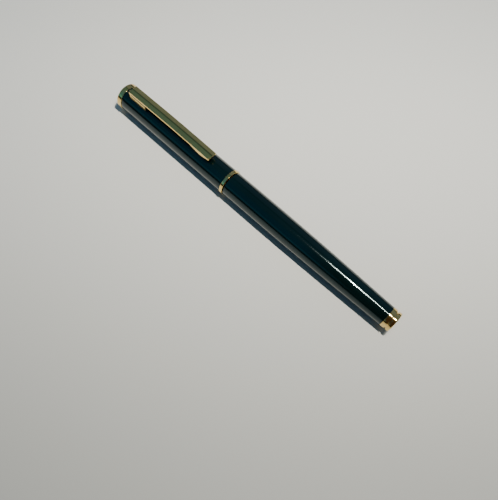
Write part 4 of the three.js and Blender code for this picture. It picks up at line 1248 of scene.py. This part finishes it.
inner_start, inner_end = span("cap_inner_sleeve")
narrow_start = inner_end - INNER_CAP_NARROW
narrow_radius = liner_radius - INNER_CAP_STEP
narrow_bore = narrow_radius - INNER_CAP_WALL
inner_bore = liner_radius - INNER_CAP_WALL
inner_cap = turned("inner_cap", rounded([
    [inner_end - INNER_CAP_END, 0], [inner_end - INNER_CAP_END, narrow_bore, FULL_EDGE],
    [narrow_start, narrow_bore, PLAIN_EDGE],
    [narrow_start - INNER_CAP_WALL, inner_bore, PLAIN_EDGE],
    [inner_start, inner_bore, SOFT_EDGE], [inner_start, liner_radius, SOFT_EDGE],
    [narrow_start, liner_radius, SOFT_EDGE], [narrow_start, narrow_radius, FINE_EDGE],
    [inner_end, narrow_radius, BROAD_EDGE], [inner_end, 0],
]), [moulded_resin], sides=128)
stands_for(inner_cap, "cap_inner_sleeve")

# ---- Clip bracket -----------------------------------------------------------------------------
# Pressed steel plate clamped against the cap's shoulder, with a leaf along the wall. The clip's
# tongue passes through the leaf's slot, and the leaf is the spring that lets the clip rock.

BRACKET_PLATE = 0.6 * MM
LEAF_THICKNESS = 0.8 * MM
LEAF_HALF_WIDTH = 2.6 * MM
LEAF_COLUMNS = 25
SCREW_SHANK = 0.8 * MM

leaf_start, bracket_end = span("clip_bracket")
bracket_start = bracket_end - BRACKET_PLATE
bracket_radius = cap_bore - FIT
spring_steel = plated_steel("spring_steel", (40, 1, 1), 0.2)
bracket = turned(
    "bracket_plate",
    ring_profile(bracket_start, bracket_end, SCREW_SHANK + FIT, bracket_radius, SOFT_EDGE),
    [spring_steel], sides=96)


def leaf_points():
    """The leaf: a sheet bent to the wall's curve, its closed edge carried along the pen.

    Each ring runs over an arc of the wall's radius and back under it, a leaf's thickness deeper.
    The rings at both ends are drawn in to half that depth.
    """
    reach = math.asin(LEAF_HALF_WIDTH / bracket_radius)
    angle = np.linspace(-reach, reach, LEAF_COLUMNS)
    around = np.concatenate([angle, angle[::-1]])
    depth = np.concatenate([np.zeros(LEAF_COLUMNS), np.full(LEAF_COLUMNS, LEAF_THICKNESS)])
    root = bracket_start + BRACKET_PLATE / 2
    x = np.array([leaf_start, leaf_start, leaf_start + SOFT_EDGE, root, root])[:, None]
    shrink = np.array([1, SOFT_EDGE / LEAF_THICKNESS * 2, 0, 0, 1])[:, None]
    middle = LEAF_THICKNESS / 2
    depth = middle + (depth - middle) * (1 - shrink)
    radius = bracket_radius - depth
    return np.stack([x + 0 * radius, radius * np.sin(around), radius * np.cos(around)], axis=-1)


leaf_grid = leaf_points()
leaf = piece("leaf_tool", leaf_grid, grid_faces(*leaf_grid.shape[:2]), [spring_steel])
carve(leaf, tongue_slot())
carve(bracket, leaf, "UNION")
stands_for(bracket, "clip_bracket")

# ---- Cap screw --------------------------------------------------------------------------------
# Steel screw that clamps the bracket and pulls the crown down on the top ring. It is turned with a
# long driver through the cap's mouth.

SCREW_HEAD = 1.6 * MM
SCREW_HEAD_EDGE = 0.25 * MM
SCREW_PITCH = 0.4 * MM
SCREW_THREAD_DEPTH = 0.12 * MM
SCREW_STEP = 0.08 * MM
DRIVER_SLOT_HALF = 0.2 * MM
DRIVER_SLOT_DEPTH = 0.45 * MM

screw_start, screw_end = span("cap_screw")
screw = turned("cap_screw_body", fine(rounded([
    [screw_start, 0], [screw_start, SCREW_HEAD, SCREW_HEAD_EDGE],
    [bracket_start, SCREW_HEAD, SOFT_EDGE],
    [bracket_start, SCREW_SHANK], [screw_end, SCREW_SHANK, ROUND_EDGE], [screw_end, 0],
]), SCREW_STEP), [turned_steel], sides=72, relief=lambda x, angle, radius: np.where(
    (x > bracket_end) & (radius > SCREW_SHANK - FIT),
    -thread(x, angle, bracket_end, screw_end - PLAIN_EDGE, SCREW_PITCH, SCREW_THREAD_DEPTH), 0))
carve(screw, bar("slot_tool", screw_start - MM, screw_start + DRIVER_SLOT_DEPTH,
                 -DRIVER_SLOT_HALF, DRIVER_SLOT_HALF, -2 * SCREW_HEAD, 2 * SCREW_HEAD,
                 [turned_steel], FINE_EDGE))
stands_for(screw, "cap_screw")

# ---- Crown disc and top ring ------------------------------------------------------------------
# The lacquered crown disc sits on a ledge inside the gold top ring, its boss tapped for the screw.
# The ring's edge is rounded towards the cap's end.

CROWN_THICKNESS = 0.7 * MM
CROWN_LEDGE = 0.4 * MM
CROWN_LEDGE_WIDTH = 0.6 * MM
CROWN_INSET = 0.25 * MM
CROWN_BOSS = 1.8 * MM
CROWN_STEP = 0.5 * MM
BARE_DEPTH = 0.1 * MM
TOP_RING_EDGE = 0.5 * MM

crown_start = pen_end - CROWN_THICKNESS
crown_radius = cap_neck - CROWN_INSET
boss_end = shoulder_start + FIT
screw_hole = SCREW_SHANK + FIT
crown = turned("crown_disc", fine(rounded([
    [crown_start - CROWN_LEDGE, 0], [crown_start - CROWN_LEDGE, screw_hole], [boss_end, screw_hole],
    [boss_end, CROWN_BOSS, SOFT_EDGE], [crown_start, CROWN_BOSS], [crown_start, crown_radius],
    [pen_end, crown_radius, MEDIUM_EDGE], [pen_end, 0],
], steps=6), CROWN_STEP), [lacquer, brass], sides=160)
paint_where(crown, 1, lambda centres, normals: centres[:, 0] < crown_start + BARE_DEPTH)
stands_for(crown, "cap_crown_disc")

ledge_bore = crown_radius - CROWN_LEDGE_WIDTH
top_ring = turned("top_ring", rounded([
    [cap_end, cap_neck + FIT], [cap_end, band_radius, PLAIN_EDGE],
    [pen_end, band_radius, TOP_RING_EDGE], [pen_end, crown_radius + FIT],
    [crown_start, crown_radius + FIT], [crown_start, ledge_bore, FINE_EDGE],
    [neck_last, ledge_bore, FINE_EDGE], [neck_last, cap_neck + FIT], [cap_end, cap_neck + FIT],
], steps=12), [turned_gold], sides=192)
stands_for(top_ring, "cap_top_ring")

# ---- Clip -------------------------------------------------------------------------------------
# Gold-plated sheet, folded to a shallow channel that stands on a root box scribed to the cap's
# curve and ends in a rounded foot. Both ends are closed, and a tongue reaches through the cap.

CLIP_SHEET = 0.5 * MM
CLIP_CROWN = 0.14 * MM
CLIP_EDGE = 0.35 * MM
CLIP_ROOT_HEIGHT = 3 * MM
CLIP_TIP_HEIGHT = 2.75 * MM
CLIP_MIDDLE_RISE = 0.4 * MM
CLIP_FLANGE = 0.8 * MM
CLIP_FOOT = 10.5 * MM
CLIP_FOOT_CLEARANCE = 0.3 * MM
BELLY_SKEW = 0.9  # below 1 moves the belly's deepest place towards the tip
BELLY_SWELL = 1.2
CLIP_ROOT = 8.7 * MM
CLIP_TOE = 0.5 * MM
CLIP_TOE_POINT = 0.45 * MM
CLIP_END_EDGE = 0.12 * MM
TIP_CORNER = 0.45 * MM
CLIP_SCRIBED = 0.015 * MM
CLIP_DRAFT = math.tan(math.radians(5))
FOOT_TUCK = 0.6 * MM
FOOT_TUCK_HEIGHT = 0.3
ROOT_STEP = 0.22 * MM
ROOT_STEP_HEIGHT = 0.7  # the tuck's and the step's heights are shares of the side's height
CLIP_ROCKING_ROOM = 0.11 * MM
TONGUE_REACH = 1.02 * MM
TOE_LEAD = 0.4 * MM
WALL_STEP = 0.02 * MM
TIP_WALL_EASE = 0.3 * MM
INSIDE_ROWS = 6
CEILING_ROWS = 7
SIDE_ROWS = 9
EDGE_ROWS = 7
TOP_ROWS = 11

clip_half = (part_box("clip")[1].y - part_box("clip")[0].y) / 2
clip_root = clip_end - CLIP_ROOT
clip_joint = next(j for j in frame["record"]["behaviour"]["joints"] if j["name"] == "clip_flex")
clip_pivot = clip_joint["pos_m"][0]


def clip_top(x):
    """Height of the top's ridge: the straight line between its two ends and a half sine over it."""
    t = (clip_end - x) / (clip_end - clip_tip)
    chord = CLIP_ROOT_HEIGHT + (CLIP_TIP_HEIGHT - CLIP_ROOT_HEIGHT) * t
    return cap_radius + chord + CLIP_MIDDLE_RISE * np.sin(math.pi * t)


def clip_belly(x):
    """How far the foot's belly has swelled, from 0 to 1: a skewed half sine over the foot."""
    from_tip = np.clip((x - clip_tip) / CLIP_FOOT, 0, 1)
    return np.clip(np.sin(math.pi * from_tip ** BELLY_SKEW), 0, 1) ** BELLY_SWELL


def at_root_box(x):
    """Share of the root box at a place, from 0 to 1: an eased step over the toe."""
    return eased((x - clip_root + CLIP_TOE) / CLIP_TOE)


def clip_hem(x, y):
    """Height of the side flanges' lower edge.

    It keeps one depth under the top along the middle, swells to the foot's belly as a skewed half
    sine, and drops at the root to the cap's own circle.
    """
    level = clip_top(x) - CLIP_FLANGE
    behind_pivot = np.clip((x - clip_pivot) / (clip_end - clip_pivot), 0, 1)
    scribed = np.sqrt(cap_radius ** 2 - y ** 2) + CLIP_SCRIBED
    scribed = scribed + CLIP_ROCKING_ROOM * behind_pivot
    at_foot = cap_radius + CLIP_FOOT_CLEARANCE - level
    return level + at_foot * clip_belly(x) + (scribed - level) * at_root_box(x)


def clip_stations():
    """Places of the rings along the clip, closest together at its ends, its foot and its toe."""
    foot_end, toe = clip_tip + CLIP_FOOT, clip_root - CLIP_TOE
    ends = CLIP_END_EDGE * (1 - np.cos(np.linspace(0, math.pi / 2, 7)))
    corner = TIP_CORNER * (1 - np.cos(np.linspace(0, math.pi / 2, 9)))
    places = np.concatenate([
        clip_tip + ends, clip_tip + corner,
        [clip_tip + CLIP_SHEET, clip_tip + CLIP_SHEET + WALL_STEP],
        np.linspace(clip_tip + CLIP_SHEET + TIP_WALL_EASE, foot_end, 60),
        np.linspace(foot_end, toe, 46), np.linspace(toe, clip_root, 14),
        np.linspace(clip_root, clip_end - MM, 14),
        [clip_end - CLIP_SHEET - WALL_STEP, clip_end - CLIP_SHEET], clip_end - ends,
    ])
    return np.unique(np.round(places, 8))[:, None]


def clip_inside(x):
    """Right half of the channel's inside: out from the middle of its ceiling and down to the hem.

    The ceiling lies one sheet under the top, and drops to the hem where an end is closed.
    """
    half = clip_half - CLIP_SHEET
    hem = clip_hem(x, half)
    hollow = ((x > clip_tip + CLIP_SHEET) & (x < clip_end - CLIP_SHEET)).astype(float)
    ceiling = hem + (clip_top(x) - CLIP_CROWN - CLIP_SHEET - hem) * hollow
    climb = np.concatenate([np.linspace(0, 1, INSIDE_ROWS), np.ones(CEILING_ROWS)])
    out = np.concatenate([np.ones(INSIDE_ROWS), np.linspace(1, 0, CEILING_ROWS + 1)[1:]])
    tuck = FOOT_TUCK * clip_belly(x) * (1 - climb) ** 2 + edge_gap(x - clip_tip, TIP_CORNER)
    y = half * out * (1 - tuck / clip_half)
    z = hem + (ceiling - hem) * climb
    return y[:, ::-1], z[:, ::-1]


def clip_outside(x):
    """Right half of the channel's outside: up from the hem and over the top to its ridge.

    The side climbs straight, a quarter circle turns it over, and the top falls from its ridge with
    the square of the distance. The side leans out towards the hem, is tucked in under the foot's
    belly and set in at the root box, and both ends are rounded.
    """
    top, hem = clip_top(x), clip_hem(x, clip_half)
    flat = clip_half - CLIP_EDGE
    arc = np.linspace(0, math.pi / 2, EDGE_ROWS + 1)[1:]
    from_ridge = np.linspace(1, 0, TOP_ROWS + 1)[1:]
    y_edge = np.concatenate([
        np.full(SIDE_ROWS, clip_half), flat + CLIP_EDGE * np.cos(arc), flat * from_ridge])
    drop = np.concatenate([
        np.full(SIDE_ROWS, CLIP_CROWN + CLIP_EDGE), CLIP_CROWN + CLIP_EDGE * (1 - np.sin(arc)),
        CLIP_CROWN * from_ridge ** 2])
    climb = np.concatenate([np.linspace(0, 1, SIDE_ROWS), np.ones(EDGE_ROWS + TOP_ROWS)])
    inset = edge_gap(x - clip_tip, CLIP_END_EDGE) + edge_gap(clip_end - x, CLIP_END_EDGE)
    shift = CLIP_DRAFT * (1 - climb) * (top - hem)
    shift = shift - FOOT_TUCK * clip_belly(x) * np.clip(1 - climb / FOOT_TUCK_HEIGHT, 0, 1)
    shift = shift - np.where(climb < ROOT_STEP_HEIGHT, ROOT_STEP * at_root_box(x), 0)
    shift = shift - inset - edge_gap(x - clip_tip, TIP_CORNER)
    return y_edge * (1 + shift / clip_half), hem + (top - drop - hem - inset) * climb


def clip_points():
    """Rings along the clip: each is the channel's closed outline, drawn to a point at both ends.

    Half the outline goes from the middle of the ceiling down inside the flange, up outside it and
    over the top. The other half mirrors it. The root box's foot is pushed forward to a small toe.
    """
    x = clip_stations()
    inner_y, inner_z = clip_inside(x)
    outer_y, outer_z = clip_outside(x)
    right_y = np.concatenate([inner_y, outer_y], axis=1)
    right_z = np.concatenate([inner_z, outer_z], axis=1)
    y = np.concatenate([right_y, -right_y[:, -2:0:-1]], axis=1)
    z = np.concatenate([right_z, right_z[:, -2:0:-1]], axis=1)
    top = clip_top(x)
    low = np.clip((top - z) / (top - cap_radius), 0, 1)
    before_toe = eased((x - clip_root + CLIP_TOE + TOE_LEAD) / TOE_LEAD)
    toe_push = CLIP_TOE_POINT * low ** 2 * before_toe * (1 - eased((x - clip_root) / MM))
    rings = np.stack([x - toe_push, y, z], axis=-1)
    ends = [np.broadcast_to(rings[i].mean(axis=0), rings[:1].shape) for i in (0, -1)]
    return np.concatenate([ends[0], rings, ends[1]])


clip_gold = gold_plate("clip_gold_plate", (40, 1, 1))
clip_grid = clip_points()
clip = piece("clip_channel", clip_grid, grid_faces(*clip_grid.shape[:2]), [clip_gold], smooth=32)
tongue_top = float(clip_top(np.array(tongue_end))) - CLIP_CROWN - CLIP_SHEET / 2
tongue = bar("tongue_tool", tongue_start, tongue_end, -TONGUE_WIDTH / 2, TONGUE_WIDTH / 2,
             cap_radius - TONGUE_REACH, tongue_top, [clip_gold], ROUND_EDGE, PLAIN_EDGE)
carve(clip, tongue, "UNION", smooth=32)
stands_for(clip, "clip")
